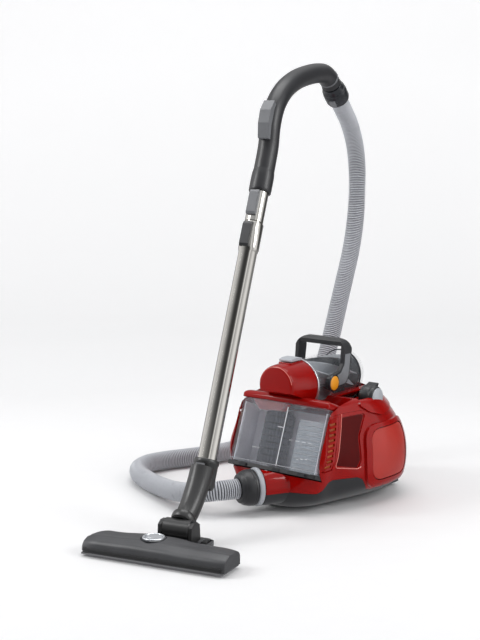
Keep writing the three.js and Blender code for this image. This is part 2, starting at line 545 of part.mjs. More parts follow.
const yoke = () => {
  const y = NECK_PIVOT.y, z = NECK_PIVOT.z;
  const cheek = sideways([[y - 17, 23], [y + 17, 23], [y + 15, z + 8], [y + 6, z + 14], [y - 6, z + 14], [y - 15, z + 8]],
    26.6, 33);
  return cheek.add(mirrored(cheek)).add(disc(31, 17.8, 19.9, "z", [0, y, 0], 32))
    .add(disc(6.9, -33, 33, "x", [0, y, z], 16)).add(box(26.6, 33, y - 17, y + 17, 18, 24))
    .add(box(-33, -26.6, y - 17, y + 17, 18, 24));
};
const headTop = () => {
  const w = HEAD.half;
  const plan = (d) => [[-w + d + 4, d], [w - d - 4, d], [w - d, 4 + d], [w - d, HEAD.depth - d - 6],
    [w - d - 8, HEAD.depth - d], [70 - d, HEAD.depth + 4 - d], [52 - d, 134 - d], [40 - d, 141 - d],
    [-40 + d, 141 - d], [-52 + d, 134 - d], [-70 + d, HEAD.depth + 4 - d], [-w + d + 8, HEAD.depth - d],
    [-w + d, HEAD.depth - d - 6], [-w + d, 4 + d]];
  const crown = (d) => sideways([[-5, -2], [0 + d, HEAD.z0 - 5], [0.5 + d, HEAD.zFront - 8], [6 + d, HEAD.zFront - d],
    [34, 36 - d], [56, 38 - d], [63, 35.5 - d], [71, 16 - d], [150, 15 - d], [150, -2]], -160, 160);
  const mass = upward(plan(0), HEAD.z0, 60).intersect(crown(0));
  const hollow = upward(plan(2.6), HEAD.z0 - 1, 60).intersect(crown(2.6));
  let top = mass.subtract(hollow);
  top = top.subtract(disc(17.5, 20, 60, "z", [-14, 40, 0], 28));
  top = top.subtract(disc(7, -5, 60, "z", [0, NECK_PIVOT.y, 0], 20));
  for (const s of [1, -1]) top = top.subtract(box(s * 44 - 7, s * 44 + 7, 108, 134, -5, 60));
  return top;
};
const sole = () => {
  const w = HEAD.half - 3;
  const plate = upward([[-w, 2], [w, 2], [w, HEAD.depth - 4], [66, HEAD.depth], [48, 130], [38, 137], [-38, 137],
    [-48, 130], [-66, HEAD.depth], [-w, HEAD.depth - 4]], 4, 7);
  return plate.subtract(box(-60, 60, 26, 44, -5, 20)).subtract(box(-120, 120, 12.4, 19.6, -5, 20))
    .subtract(box(37 - 0.8, 51.8, 106, 136, -5, 20)).subtract(box(-51.8, -36.2, 106, 136, -5, 20));
};
const brush = () => box(-119, 119, 13, 19, 3.3, 12);
const pedalRing = () => tube(20.5, 15.6, 38.6, 43, "z", [-14, 40, 0], 28)
  .add(tube(17.1, 15.6, 20, 39, "z", [-14, 40, 0], 28));
const rocker = () => disc(14.6, 31, 40.5, "z", [-14, 40, 0], 24)
  .subtract(sideways([[25, 46], [25, 40.6], [40, 38.6], [55, 40.6], [55, 46]], -60, 60));
const roller = (s) => turned([[0, -4.5], [8.6, -4.5], [9.6, -3.5], [9.6, 3.5], [8.6, 4.5], [0, 4.5]], "x",
  [s * 44, 121, 9.7], 20);
const bumper = () => upward([[-136, -3], [136, -3], [136, -0.4], [-136, -0.4]], 10, 17);

// ---- assembly ----------------------------------------------------------------------------------
const machine = new THREE.Group();
machine.position.set(SHIFT.x, SHIFT.y, 0);

machine.add(part("chassis_base", chassis(), DARK));
machine.add(part("body_shell", shell(), RED));
machine.add(part("deck", deck(), RED));
machine.add(part("louvre_R", louvre(), RED), part("louvre_L", mirrored(louvre()), RED));
machine.add(part("side_cover_R", cover(), RED), part("side_cover_L", mirrored(cover()), RED));
machine.add(part("filter_door", door(), DARK));
machine.add(part("cord_outlet", outlet(), DARK));
machine.add(part("motor_unit", motor(), COPPER), part("motor_mount", motorMount(), RUBBER));
machine.add(part("cord_reel", reel(), GREY), part("control_board", board(), BOARD));
machine.add(part("exhaust_filter", exhaustFilter(), FOAM), part("motor_filter", preFilter(), FOAM));
machine.add(part("wheel_R", wheel(1), RUBBER), part("wheel_L", wheel(-1), RUBBER));
machine.add(part("caster_fork", casterFork(), DARK), part("caster_wheel", casterWheel(), RUBBER));
machine.add(part("inlet_socket", socket(), PALE), part("hose_cuff", cuff(), DARK), part("hose", hose(), HOSE_GREY));
machine.add(part("pedal_power", pedal(1), GREY), part("pedal_rewind", pedal(-1), GREY));
machine.add(part("bin", bin(), CLEAR), part("bin_plate", binPlate(), DARK), part("filter_core", filterCore(), DARK));
machine.add(part("lid", lid(), RED), part("barrel_cap", cap(), RED), part("cap_button", capTab(), GREY));
machine.add(part("barrel_ring", ring(), PALE), part("barrel", barrel(), CLEAR), part("swirl_fins", swirl(), DARK));
machine.add(part("carry_handle", bail(), DARK));
machine.add(part("pivot_disc_R", pivotDisc(1), YELLOW), part("pivot_disc_L", pivotDisc(-1), YELLOW));

const floorSet = new THREE.Group();
floorSet.position.set(HEAD_AT.x, HEAD_AT.y, 0);
floorSet.rotation.z = HEAD_AT.yaw;
machine.add(floorSet);
floorSet.add(part("tube_lower", lowerTube(), STEEL), part("tube_upper", upperTube(), STEEL));
floorSet.add(part("tube_slider", telescopeSlider(), GREY), part("handle_slider", handleSlider(), GREY));
floorSet.add(part("handle_grip", grip(), DARK), part("air_slider", airSlider(), GREY));
floorSet.add(part("handle_cuff", endCuff(), DARK), part("release_button", releaseButton(), GREY));
floorSet.add(part("neck", neck(), DARK), part("neck_latch", latch(), GREY), part("neck_yoke", yoke(), DARK));
floorSet.add(part("head_top", headTop(), DARK), part("sole_plate", sole(), STEEL), part("brush_strip", brush(), RUBBER));
floorSet.add(part("pedal_ring", pedalRing(), STEEL), part("head_rocker", rocker(), GREY));
floorSet.add(part("head_wheel_R", roller(1), RUBBER), part("head_wheel_L", roller(-1), RUBBER));
floorSet.add(part("head_bumper", bumper(), RUBBER));

export default machine;
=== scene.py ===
import math
import bpy
import bmesh
from mathutils import Matrix, Vector


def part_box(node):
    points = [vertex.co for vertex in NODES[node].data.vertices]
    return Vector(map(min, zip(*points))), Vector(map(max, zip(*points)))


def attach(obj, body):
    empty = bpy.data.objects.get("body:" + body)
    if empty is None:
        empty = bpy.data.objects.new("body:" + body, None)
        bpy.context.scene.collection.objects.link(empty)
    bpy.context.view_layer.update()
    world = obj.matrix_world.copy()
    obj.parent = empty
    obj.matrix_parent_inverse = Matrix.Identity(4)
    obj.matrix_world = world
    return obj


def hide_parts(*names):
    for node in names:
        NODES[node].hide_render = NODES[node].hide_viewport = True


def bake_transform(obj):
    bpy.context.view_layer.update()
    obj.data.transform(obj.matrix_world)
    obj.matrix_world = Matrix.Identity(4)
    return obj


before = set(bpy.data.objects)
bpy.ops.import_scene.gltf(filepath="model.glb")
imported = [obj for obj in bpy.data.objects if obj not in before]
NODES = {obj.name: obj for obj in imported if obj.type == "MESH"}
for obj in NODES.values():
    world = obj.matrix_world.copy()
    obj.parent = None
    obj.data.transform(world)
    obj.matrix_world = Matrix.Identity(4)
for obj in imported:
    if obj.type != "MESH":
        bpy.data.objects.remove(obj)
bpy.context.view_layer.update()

# ---- frames: millimetres of the machine -> metres of the row ----
BARREL_BACK = 0.192  # metres from the machine's origin to the back of the barrel
HEAD_YAW, WAND_LEAN, BIN_LEAN, INLET_YAW = 0.2044, math.radians(25.44), math.radians(20.6), math.radians(30)
CAMERA_YAW, CAMERA_DOWN = 37.43, 8.64  # degrees
barrel_low, barrel_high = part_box("barrel")
ORIGIN = Vector(((barrel_low.x + barrel_high.x) / 2, barrel_high.y - BARREL_BACK, 0.0))
T, R, rad = Matrix.Translation, Matrix.Rotation, math.radians
BODY = T(ORIGIN) @ Matrix.Scale(0.001, 4)
HEAD = BODY @ T((42, -466, 0)) @ R(HEAD_YAW, 4, "Z")
TUBE = HEAD @ T((0, 209, 130)) @ R(-WAND_LEAN, 4, "X")
BIN = BODY @ T((0, -66, 82)) @ R(-BIN_LEAN, 4, "X")


def axis_frame(base, origin, along, side=(1, 0, 0)):
    """Frame with local Z along a direction."""
    z = Vector(along).normalized()
    y = z.cross(Vector(side)).normalized()
    x = y.cross(z)
    m = Matrix((x, y, z)).transposed().to_4x4()
    m.translation = Vector(origin)
    return base @ m


INLET = axis_frame(BODY, (0, -84, 49.5), (-math.sin(INLET_YAW), -math.cos(INLET_YAW), 0))
GRIP_END = (0, 782.6, 803.1)
CUFF = axis_frame(HEAD, GRIP_END, (0, 0.8, -0.6))
FLIP = Matrix.Diagonal((-1, 1, 1, 1))
SIDES = ((1, "R"), (-1, "L"))
PLACE = {1: BODY, -1: BODY @ FLIP}  # a piece drawn on the right, and its mirror image on the left
FLANK = {1: (60, 200), -1: (-200, -60)}  # how far across a cutter for one flank reaches


# ---- smooth lines ----
def spline(points, steps, closed=False, fineness=24):
    """Centripetal Catmull-Rom through the points, evenly resampled."""
    p = [Vector(q) for q in points]
    n = len(p)
    ext = [p[-1]] + p + [p[0], p[1]] if closed else [p[0] * 2 - p[1]] + p + [p[-1] * 2 - p[-2]]
    fine = []
    for i in range(n if closed else n - 1):
        a, b, c, d = ext[i:i + 4]
        t0 = 0
        t1 = max((b - a).length, 1e-6) ** 0.5
        t2 = t1 + max((c - b).length, 1e-6) ** 0.5
        t3 = t2 + max((d - c).length, 1e-6) ** 0.5
        for k in range(fineness):
            t = t1 + (t2 - t1) * k / fineness
            a1 = a * ((t1 - t) / (t1 - t0)) + b * ((t - t0) / (t1 - t0))
            a2 = b * ((t2 - t) / (t2 - t1)) + c * ((t - t1) / (t2 - t1))
            a3 = c * ((t3 - t) / (t3 - t2)) + d * ((t - t2) / (t3 - t2))
            b1 = a1 * ((t2 - t) / (t2 - t0)) + a2 * ((t - t0) / (t2 - t0))
            b2 = a2 * ((t3 - t) / (t3 - t1)) + a3 * ((t - t1) / (t3 - t1))
            fine.append(b1 * ((t2 - t) / (t2 - t1)) + b2 * ((t - t1) / (t2 - t1)))
    fine.append((fine[0] if closed else p[-1]).copy())
    return resample(fine, steps)


def resample(line, steps):
    """The same line in equal steps."""
    s = [0.0]
    for a, b in zip(line, line[1:]):
        s.append(s[-1] + (b - a).length)
    out, j = [], 0
    for i in range(steps + 1):
        want = s[-1] * i / steps
        while j < len(line) - 2 and s[j + 1] < want:
            j += 1
        f = (want - s[j]) / max(s[j + 1] - s[j], 1e-9)
        out.append(line[j].lerp(line[j + 1], min(max(f, 0), 1)))
    return out


def length_of(line):
    return sum((b - a).length for a, b in zip(line, line[1:]))


def rounded(pts, r, n=5):
    """2-D outline with its corners rounded; r is one radius or one per corner."""
    out = []
    m = len(pts)
    for i, q in enumerate(pts):
        q = Vector(q)
        a, b = Vector(pts[i - 1]) - q, Vector(pts[(i + 1) % m]) - q
        rr = r[i] if isinstance(r, (list, tuple)) else r
        half = a.angle(b) / 2
        if rr <= 0 or half > 1.5:
            out.append(q)
            continue
        back = min(rr / math.tan(half), a.length * 0.49, b.length * 0.49)
        p0, p1 = q + a.normalized() * back, q + b.normalized() * back
        for k in range(n + 1):
            t = k / n
            out.append(p0 * (1 - t) ** 2 + q * 2 * t * (1 - t) + p1 * t * t)
    return [(v[0], v[1]) for v in out]


# ---- meshes ----
def make(name, verts, faces, base, material, body=None, replaces=(), sharp=35, bevel=0, slot=None, keep=True):
    """Mesh piece in the row's frame; it gets its finish unless it is only a tool."""
    mesh = bpy.data.meshes.new(name)
    mesh.from_pydata([base @ Vector(v) for v in verts], [], faces)
    mesh.update()
    bm = bmesh.new()
    bm.from_mesh(mesh)
    bmesh.ops.remove_doubles(bm, verts=bm.verts, dist=2e-6)
    bmesh.ops.recalc_face_normals(bm, faces=bm.faces)
    if bm.calc_volume(signed=True) < 0 and all(len(e.link_faces) == 2 for e in bm.edges):
        bmesh.ops.reverse_faces(bm, faces=bm.faces)
    bm.to_mesh(mesh)
    bm.free()
    o = bpy.data.objects.new(name, mesh)
    bpy.context.scene.collection.objects.link(o)
    if keep:
        finish_piece(o, material, body, replaces, sharp, bevel, slot)
    return o


def finish_piece(o, material, body, replaces=(), sharp=35, bevel=0, slot=None):
    """Material, edges, and what the piece replaces and rides on."""
    o.data.materials.clear()
    o.data.materials.append(material)
    smooth(o, sharp)
    if bevel:
        soften(o, bevel, sharp)
    if replaces:
        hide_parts(*replaces)
    slot = slot or (SLOT_OF.get(material.name) if body else None)
    if body:
        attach(o, body)
    return o


def settle(o, name, *finish, **more):
    """Name a piece that was built by cutting, then give it its finish."""
    o.name = name
    return finish_piece(o, *finish, **more)


def smooth(o, angle):
    for f in o.data.polygons:
        f.use_smooth = True
    o.data.set_sharp_from_angle(angle=rad(angle))


def soften(o, width, angle=35, segments=2):
    m = o.modifiers.new("edge", "BEVEL")
    m.width = width * 0.001
    m.segments = segments
    m.limit_method = "ANGLE"
    m.angle_limit = rad(angle)
    m.use_clamp_overlap = True
    m.harden_normals = False


def solid_of(rings, caps=True, closed_ring=True):
    """Skin over a row of equal rings."""
    n = len(rings[0])
    verts = [tuple(p) for r in rings for p in r]
    faces = []
    for k in range(len(rings) - 1):
        for i in range(n if closed_ring else n - 1):
            j = (i + 1) % n
            faces.append((k * n + i, k * n + j, (k + 1) * n + j, (k + 1) * n + i))
    if caps:
        faces.append(tuple(reversed(range(n))))
        faces.append(tuple(range((len(rings) - 1) * n, len(rings) * n)))
    return verts, faces


def lathe(profile, n=64):
    """Closed loop of (radius, along Z), turned about Z."""
    m = len(profile)
    verts, faces = [], []
    for i in range(n):
        t, j = 2 * math.pi * i / n, (i + 1) % n
        verts += [(r * math.cos(t), r * math.sin(t), a) for r, a in profile]
        faces += [(i * m + k, j * m + k, j * m + (k + 1) % m, i * m + (k + 1) % m) for k in range(m)]
    return verts, faces


def prism(pts, lo, hi, plane="xy"):
    """Outline swept along the third axis."""
    def put(u, v, w):
        return {"xy": (u, v, w), "yz": (w, u, v), "xz": (u, w, v)}[plane]
    return solid_of([[put(u, v, lo) for u, v in pts], [put(u, v, hi) for u, v in pts]])


def box_of(x0, x1, y0, y1, z0, z1):
    return prism([(x0, y0), (x1, y0), (x1, y1), (x0, y1)], z0, z1)


def frames_along(line):
    """A steady frame at each point of a line: (point, side, up, forward)."""
    out, side = [], None
    for i, p in enumerate(line):
        f = (line[min(i + 1, len(line) - 1)] - line[max(i - 1, 0)]).normalized()
        if side is None:
            side = Vector((1, 0, 0)) if abs(f.x) < 0.9 else Vector((0, 0, 1))
        side = (side - f * side.dot(f)).normalized()
        out.append((p, side, f.cross(side).normalized(), f))
    return out


def ring_at(p, side, up, ra, rb, sides):
    """Oval ring about a point; ra lies along side and rb along up."""
    return [tuple(p + side * (ra * math.cos(2 * math.pi * k / sides))
        + up * (rb * math.sin(2 * math.pi * k / sides))) for k in range(sides)]


def sweep(line, radii, sides=32):
    """Rod along a line; each radius is one number or a pair."""
    rings = []
    for (p, side, up, _), r in zip(frames_along(line), radii):
        ra, rb = r if isinstance(r, tuple) else (r, r)
        rings.append(ring_at(p, side, up, ra, rb, sides))
    return solid_of(rings)


def cut(o, cutter, how="DIFFERENCE", base=BODY):
    """Boolean on the mesh itself. A cutter that would eat the piece is nudged and tried again."""
    if isinstance(cutter, tuple):
        cutter = tool(cutter, base)
    before = len(o.data.vertices)
    for nudge in (0.0, 0.00007, -0.00011, 0.00019):
        cutter.location = (nudge, nudge * 0.7, nudge * 1.3)
        m = o.modifiers.new("cut", "BOOLEAN")
        m.operation, m.object, m.solver = how, cutter, "EXACT"
        bpy.context.view_layer.update()
        mesh = bpy.data.meshes.new_from_object(o.evaluated_get(bpy.context.evaluated_depsgraph_get()))
        o.modifiers.remove(m)
        if how == "INTERSECT" or len(mesh.vertices) > before * 0.3:
            break
    old, o.data = o.data, mesh
    bpy.data.meshes.remove(old)
    bpy.data.objects.remove(cutter)
    return o


def tool(verts_faces, base=BODY):
    """Bare mesh, for cutting or to be cut."""
    return make("tool", *verts_faces, base, None, keep=False)


# ---- materials ----
def add_node(tree, kind, values=None, **settings):
    """New shader node with its settings and the values of its inputs."""
    n = tree.nodes.new(kind)
    for key, value in settings.items():
        setattr(n, key, value)
    for key, value in (values or {}).items():
        n.inputs[key].default_value = value
    return n


def finish_of(name, colour, rough, metal=0.0, grain=900, bump=0.15, depth=0.0002, vary=0.06, wear=25,
              coat=0.0, coat_rough=0.03, ior=1.5, stretch=None, rough_vary=0.06, alpha=1.0, specular=0.5):
    """Moulded or metal finish: fine grain in the normal, slow change in colour and gloss."""
    m = bpy.data.materials.new(name)
    m.use_nodes = True
    tree = m.node_tree
    bsdf = tree.nodes["Principled BSDF"]
    for key, value in (("Metallic", metal), ("IOR", ior), ("Coat Weight", coat), ("Coat Roughness", coat_rough),
        ("Specular IOR Level", specular), ("Alpha", alpha)):
        bsdf.inputs[key].default_value = value
    where = fine_at = add_node(tree, "ShaderNodeTexCoord").outputs["Object"]
    if stretch:
        mapping = add_node(tree, "ShaderNodeMapping", {"Scale": stretch})
        tree.links.new(where, mapping.inputs["Vector"])
        fine_at = mapping.outputs["Vector"]
    slow = add_node(tree, "ShaderNodeTexNoise", {"Scale": wear, "Detail": 4})
    tint = add_node(tree, "ShaderNodeMapRange", {"From Min": 0.3, "From Max": 0.7, "To Min": 1 - vary,
        "To Max": 1 + vary})
    mix = add_node(tree, "ShaderNodeMix", {"Factor": 1, "A": (*colour, 1)}, data_type="RGBA",
        blend_type="MULTIPLY")
    fine = add_node(tree, "ShaderNodeTexNoise", {"Scale": grain, "Detail": 3})
    gloss = add_node(tree, "ShaderNodeMapRange", {"To Min": max(rough - rough_vary, 0.02),
        "To Max": min(rough + rough_vary, 1)})
    relief = add_node(tree, "ShaderNodeBump", {"Strength": bump, "Distance": depth})
    for source, target in ((where, slow.inputs["Vector"]), (slow.outputs["Fac"], tint.inputs["Value"]),
        (tint.outputs["Result"], mix.inputs["B"]), (mix.outputs["Result"], bsdf.inputs["Base Color"]),
        (fine_at, fine.inputs["Vector"]), (slow.outputs["Fac"], gloss.inputs["Value"]),
        (gloss.outputs["Result"], bsdf.inputs["Roughness"]), (fine.outputs["Fac"], relief.inputs["Height"]),
        (relief.outputs["Normal"], bsdf.inputs["Normal"])):
        tree.links.new(source, target)
    return m


def film_of(name, colour, rough, alpha):
    """Clear moulded plastic as a thin tinted film with a glossy skin."""
    return finish_of(name, colour, rough, grain=60, bump=0.04, vary=0.05, rough_vary=0.02, ior=1.6, alpha=alpha,
        coat=1.0, coat_rough=0.02, specular=1.0)


RED = finish_of("red_gloss", (0.31, 0.003, 0.002), 0.09, grain=140, bump=0.03, vary=0.05, coat=0.2,
    rough_vary=0.04, specular=0.16)
# darker red laid in the side recesses as painted shade
RED_PAINTED_SHADE = finish_of("red_painted_shade", (0.085, 0.001, 0.0008), 0.3, grain=140, bump=0.03, vary=0.10, specular=0.1)
RED_SATIN = finish_of("red_satin", (0.44, 0.018, 0.008), 0.36, grain=1800, bump=0.1, vary=0.05, coat=0.12,
    coat_rough=0.2)
DARK = finish_of("dark_satin", (0.021, 0.0215, 0.024), 0.36, grain=2600, bump=0.22, vary=0.10)
HEAD_DARK = finish_of("head_satin", (0.055, 0.056, 0.060), 0.40, grain=2600, bump=0.25, vary=0.10)
DARK_GLOSS = finish_of("dark_gloss", (0.018, 0.020, 0.024), 0.14, grain=400, bump=0.03, vary=0.08)
GREY = finish_of("grey_satin", (0.16, 0.165, 0.175), 0.36, grain=2400, bump=0.18, vary=0.08)
LIGHT_GREY = finish_of("light_grey", (0.42, 0.44, 0.47), 0.30, grain=1800, bump=0.12, vary=0.05)
SILVER = finish_of("silver_trim", (0.66, 0.68, 0.71), 0.22, metal=0.7, grain=1500, bump=0.05, vary=0.04)
STEEL = finish_of("steel_tube", (0.52, 0.505, 0.475), 0.10, metal=1.0, grain=500, bump=0.05, vary=0.04,
                  stretch=(1, 1, 0.02), rough_vary=0.05)
STEEL_DARK = finish_of("steel_plate", (0.34, 0.34, 0.35), 0.26, metal=1.0, grain=900, bump=0.1, vary=0.05)
YELLOW = finish_of("yellow_plastic", (0.90, 0.36, 0.012), 0.30, grain=1200, bump=0.08, vary=0.05)
RUBBER = finish_of("black_rubber", (0.016, 0.016, 0.017), 0.62, grain=1500, bump=0.3, vary=0.15)
FOAM = finish_of("filter_foam", (0.30, 0.31, 0.32), 0.9, grain=700, bump=0.9, vary=0.2)
COPPER = finish_of("motor_metal", (0.42, 0.24, 0.10), 0.38, metal=0.9, grain=800, bump=0.2, vary=0.12)
BOARD = finish_of("board_green", (0.012, 0.10, 0.035), 0.45, grain=500, bump=0.2, vary=0.15)
AMBER = finish_of("louvre_glow", (0.42, 0.085, 0.012), 0.5, grain=900, bump=0.2, vary=0.2, wear=60)
# a lighter red used only for painted highlights along edges
RED_PAINTED_HIGHLIGHT = finish_of("red_painted_highlight", (0.72, 0.16, 0.13), 0.15, grain=140, bump=0.03, vary=0.05, coat=1.0)
STEEL_GREY = finish_of("core_grey", (0.50, 0.53, 0.57), 0.22, metal=0.3, grain=700, bump=0.08, vary=0.08)
GRAIN_GREY = finish_of("grain_grey", (0.20, 0.21, 0.225), 0.42, grain=900, bump=0.6, depth=0.0006, vary=0.12)
NECK_DARK = finish_of("neck_satin", (0.030, 0.030, 0.030), 0.30, grain=2600, bump=0.15, vary=0.10)
WHITE = finish_of("white_mark", (0.80, 0.82, 0.85), 0.4, grain=900, bump=0.05, vary=0.04)
CORE = finish_of("pleat_blue", (0.020, 0.030, 0.042), 0.5, grain=1200, bump=0.3, vary=0.15)
# near-white so the bin's back, which sits in shade, looks lit: painted light
BIN_BACK_PAINTED_LIGHT = finish_of("bin_back", (0.84, 0.85, 0.92), 0.35, grain=500, bump=0.08, vary=0.12)
CLEAR = film_of("clear_bin", (0.66, 0.69, 0.77), 0.06, 0.09)
SMOKE = film_of("clear_barrel", (0.66, 0.70, 0.75), 0.05, 0.07)
MILKY = film_of("milky_chamber", (0.42, 0.50, 0.57), 0.25, 0.55)

# slot for each finish; a piece of another make names its own. finish_piece looks the slot up but does not store
# it
SLOT_OF = {finish.name: slot for slot, finishes in {
    "red_shell": (RED, RED_PAINTED_SHADE, RED_SATIN, RED_PAINTED_HIGHLIGHT, AMBER),
    "dark_plastic": (DARK, DARK_GLOSS, HEAD_DARK, NECK_DARK),
    "grey_plastic": (GREY, LIGHT_GREY, GRAIN_GREY),
    "clear_plastic": (CLEAR, SMOKE, MILKY, BIN_BACK_PAINTED_LIGHT, WHITE),
    "steel_tube": (STEEL,), "yellow_plastic": (YELLOW,), "black_rubber": (RUBBER,), "filter_foam": (CORE,),
}.items() for finish in finishes}

# ---- camera ----
cam_data = bpy.data.cameras.new("camera")
cam_data.lens = 78.75
cam_data.sensor_width = 36
cam = bpy.data.objects.new("camera", cam_data)
bpy.context.scene.collection.objects.link(cam)
cam.location = ORIGIN + Vector((1.522, -2.152, 0.756))
cam.rotation_euler = (rad(90 - CAMERA_DOWN), 0, rad(CAMERA_YAW))
bpy.context.scene.camera = cam

# ---- hose: route in millimetres of the machine, handle end first ----
HOSE_ROUTE = [
    (-125.2, 340.9, 772), (-131.7, 372, 748), (-138, 403, 722), (-145, 436, 678), (-149, 453, 628),
    (-150, 456, 572), (-147, 446, 512), (-142, 423, 450), (-135, 388, 390), (-127, 350, 330),
    (-120, 316, 275), (-119, 290, 225), (-132, 270, 175), (-160, 257, 125), (-200, 246, 80),
    (-246, 228, 44), (-282, 198, 25), (-300, 158, 20.6), (-313, 118, 20.4), (-331, 78, 20.4),
    (-350, 38, 20.4), (-360, -4, 20.4), (-350, -46, 20.4), (-316, -84, 20.4), (-264, -114, 21),
    (-206, -141, 24), (-152, -163, 30), (-108, -176, 38), (-74, -178, 45), (-51, -166.5, 48.6),
    (-35.4, -145.3, 49.5), (-28.5, -133.3, 49.5),
]
HOSE_R, HOSE_VALLEY, PITCH = 19.0, 16.4, 4.0
HOSE_SIDES, HOSE_FINE = 28, 25  # faces around, and samples along one rib
SPLIT_HEIGHT = 560


def painted_groove_shade_material():
    """Hose plastic: pale on the crests, with painted shade darkening the valleys."""
    m = finish_of("hose_plastic", (0.52, 0.535, 0.57), 0.30, grain=1500, bump=0.08, vary=0.05, rough_vary=0.08)
    tree = m.node_tree
    base = tree.nodes["Principled BSDF"].inputs["Base Color"]
    lit_crest = add_node(tree, "ShaderNodeAttribute", attribute_name="lit_crest")
    # the dark colour mixed in towards the valleys is painted shade in the grooves
    mix = add_node(tree, "ShaderNodeMix", {"A": (0.07, 0.074, 0.088, 1)}, data_type="RGBA")
    tree.links.new(base.links[0].from_socket, mix.inputs["B"])
    tree.links.new(lit_crest.outputs["Fac"], mix.inputs["Factor"])
    tree.links.new(mix.outputs["Result"], base)
    return m


HOSE = painted_groove_shade_material()


def hose_section(name, line):
    """Ribbed tube along a line: flat crests with narrow valleys between them, darkened by painted shade."""
    total = length_of(line)
    ribs = round(total / PITCH)
    # each mark: place along the rib, crest or valley, and its share of the pale crest colour; the rest is
    # painted valley shade
    marks = [(0.0, 0, 0.35), (0.12, 1, 1.0), (0.55, 1, 1.0), (0.68, 0, 0.35), (0.84, 0, 0.0)]
    fine = resample(line, ribs * HOSE_FINE)
    pts, radii, lit_crest = [], [], []
    for k in range(ribs):
        for at, high, c in marks:
            pts.append(fine[min(round((k + at) * HOSE_FINE), len(fine) - 1)])
            radii.append(HOSE_R if high else (HOSE_R + HOSE_VALLEY * 2) / 3 if c else HOSE_VALLEY)
            lit_crest.append(c)
    pts.append(fine[-1])
    radii.append(HOSE_VALLEY)
    lit_crest.append(0.0)
    fr = frames_along(resample(line, len(pts) * 2))
    rings = []
    for i, (p, r) in enumerate(zip(pts, radii)):
        j = min(round(i / (len(pts) - 1) * (len(fr) - 1)), len(fr) - 1)
        rings.append(ring_at(p, fr[j][1], fr[j][2], r, r, HOSE_SIDES))
    verts, faces = solid_of(rings)
    mesh = bpy.data.meshes.new(name)
    mesh.from_pydata([BODY @ Vector(v) for v in verts], [], faces)
    mesh.update()
    value = mesh.attributes.new("lit_crest", "FLOAT", "POINT")
    value.data.foreach_set("value", [c for c in lit_crest for _ in range(HOSE_SIDES)])
    o = bpy.data.objects.new(name, mesh)
    bpy.context.scene.collection.objects.link(o)
    o.data.materials.append(HOSE)
    smooth(o, 75)
    return o


hose_line = spline(HOSE_ROUTE, 900)
SPLIT = next(i for i, p in enumerate(hose_line) if i > 100 and p.z < SPLIT_HEIGHT)
upper_line = hose_line[: SPLIT + 1]
lower_line = list(reversed(hose_line[SPLIT:]))
hose_low = hose_section("hose_low", lower_line)
hose_high = hose_section("hose_high", list(reversed(upper_line)))
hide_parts("hose")
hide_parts("hose")
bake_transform(hose_low)
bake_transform(hose_high)

# ---- canister shells ----
LEVELS = [(6, [(0, -60), (36, -50), (62, -20), (74, 20), (90, 90), (100, 150), (88, 205), (48, 236), (0, 244)]),
    (22, [(0, -77), (46, -66), (84, -42), (95, 0), (112, 60), (126, 125), (118, 190), (74, 238), (0, 262)]),
    (42, [(0, -83), (54, -70), (93, -51), (104, -14), (126, 40), (143, 105), (137, 180), (92, 240), (0, 272)]),
    (100, [(0, -62), (72, -60), (109, -54), (114, -20), (127, 36), (148, 108), (141, 180), (96, 240),
    (0, 275)]), (150, [(0, -42), (72, -42), (107, -37), (111.5, -8), (122, 38), (141, 104), (132, 168),
    (88, 226), (0, 262)]), (184, [(0, -30), (72, -30), (103, -27), (107, 0), (114, 38), (128, 92), (120, 145),
    (80, 200), (0, 240)]), (206, [(0, -20), (58, -20), (95, -18), (102, 6), (107, 38), (116, 84), (108, 132),
    (70, 178), (0, 218)]),]
AROUND = 120
LOOPS = [(z, spline([(x, y, 0) for x, y in p] + [(-x, y, 0) for x, y in reversed(p[1:-1])], AROUND, True)[:-1])
         for z, p in LEVELS]


def station(i, z):
    """Point of the smooth shell: column i of the outline at a height."""
    zs = [l[0] for l in LOOPS]
    z = min(max(z, zs[0]), zs[-1])
    k = max(j for j in range(len(zs) - 1) if zs[j] <= z)
    p = [l[1][i] for l in LOOPS]

    def slope(j):
        a, b = max(j - 1, 0), min(j + 1, len(zs) - 1)
        return (p[b] - p[a]) / (zs[b] - zs[a])
    h = zs[k + 1] - zs[k]
    t = (z - zs[k]) / h
    return (p[k] * (2 * t ** 3 - 3 * t ** 2 + 1) + slope(k) * h * (t ** 3 - 2 * t ** 2 + t)
            + p[k + 1] * (-2 * t ** 3 + 3 * t ** 2) + slope(k + 1) * h * (t ** 3 - t ** 2))


def mass(grow, lo=6, hi=206, top_r=9, low_r=5):
    zs = sorted({lo, lo + 1, lo + 2.5, lo + 5, hi - 9, hi - 6, hi - 3.5, hi - 1.5, hi - 0.4, hi}
                | set(range(18, 196, 8)))
    zs = [z for z in zs if lo <= z <= hi]
    rings = []
    for z in zs:
        near = 0.0
        if hi - z < top_r:
            near = top_r - math.sqrt(max(top_r ** 2 - (top_r - (hi - z)) ** 2, 0))
        elif z - lo < low_r:
            near = low_r - math.sqrt(max(low_r ** 2 - (low_r - (z - lo)) ** 2, 0))
        loop = [station(i, z) for i in range(AROUND)]
        ring = []
        for i, q in enumerate(loop):
            t = (loop[(i + 1) % AROUND] - loop[i - 1]).normalized()
            ring.append((q.x + t.y * (grow - near), q.y - t.x * (grow - near), z))
        rings.append(ring)
    return solid_of(rings)


def drum(r, a0, a1, axis, at, n=56):
    """Plain round cutter about a named axis."""
    def put(u, v, w):
        return {"x": (w, u, v), "y": (u, w, v), "z": (u, v, w)}[axis]
    rings = [[tuple(Vector(put(r * math.cos(2 * math.pi * k / n), r * math.sin(2 * math.pi * k / n), a))
        + Vector(at)) for k in range(n)] for a in (a0, a1)]
    return solid_of(rings)


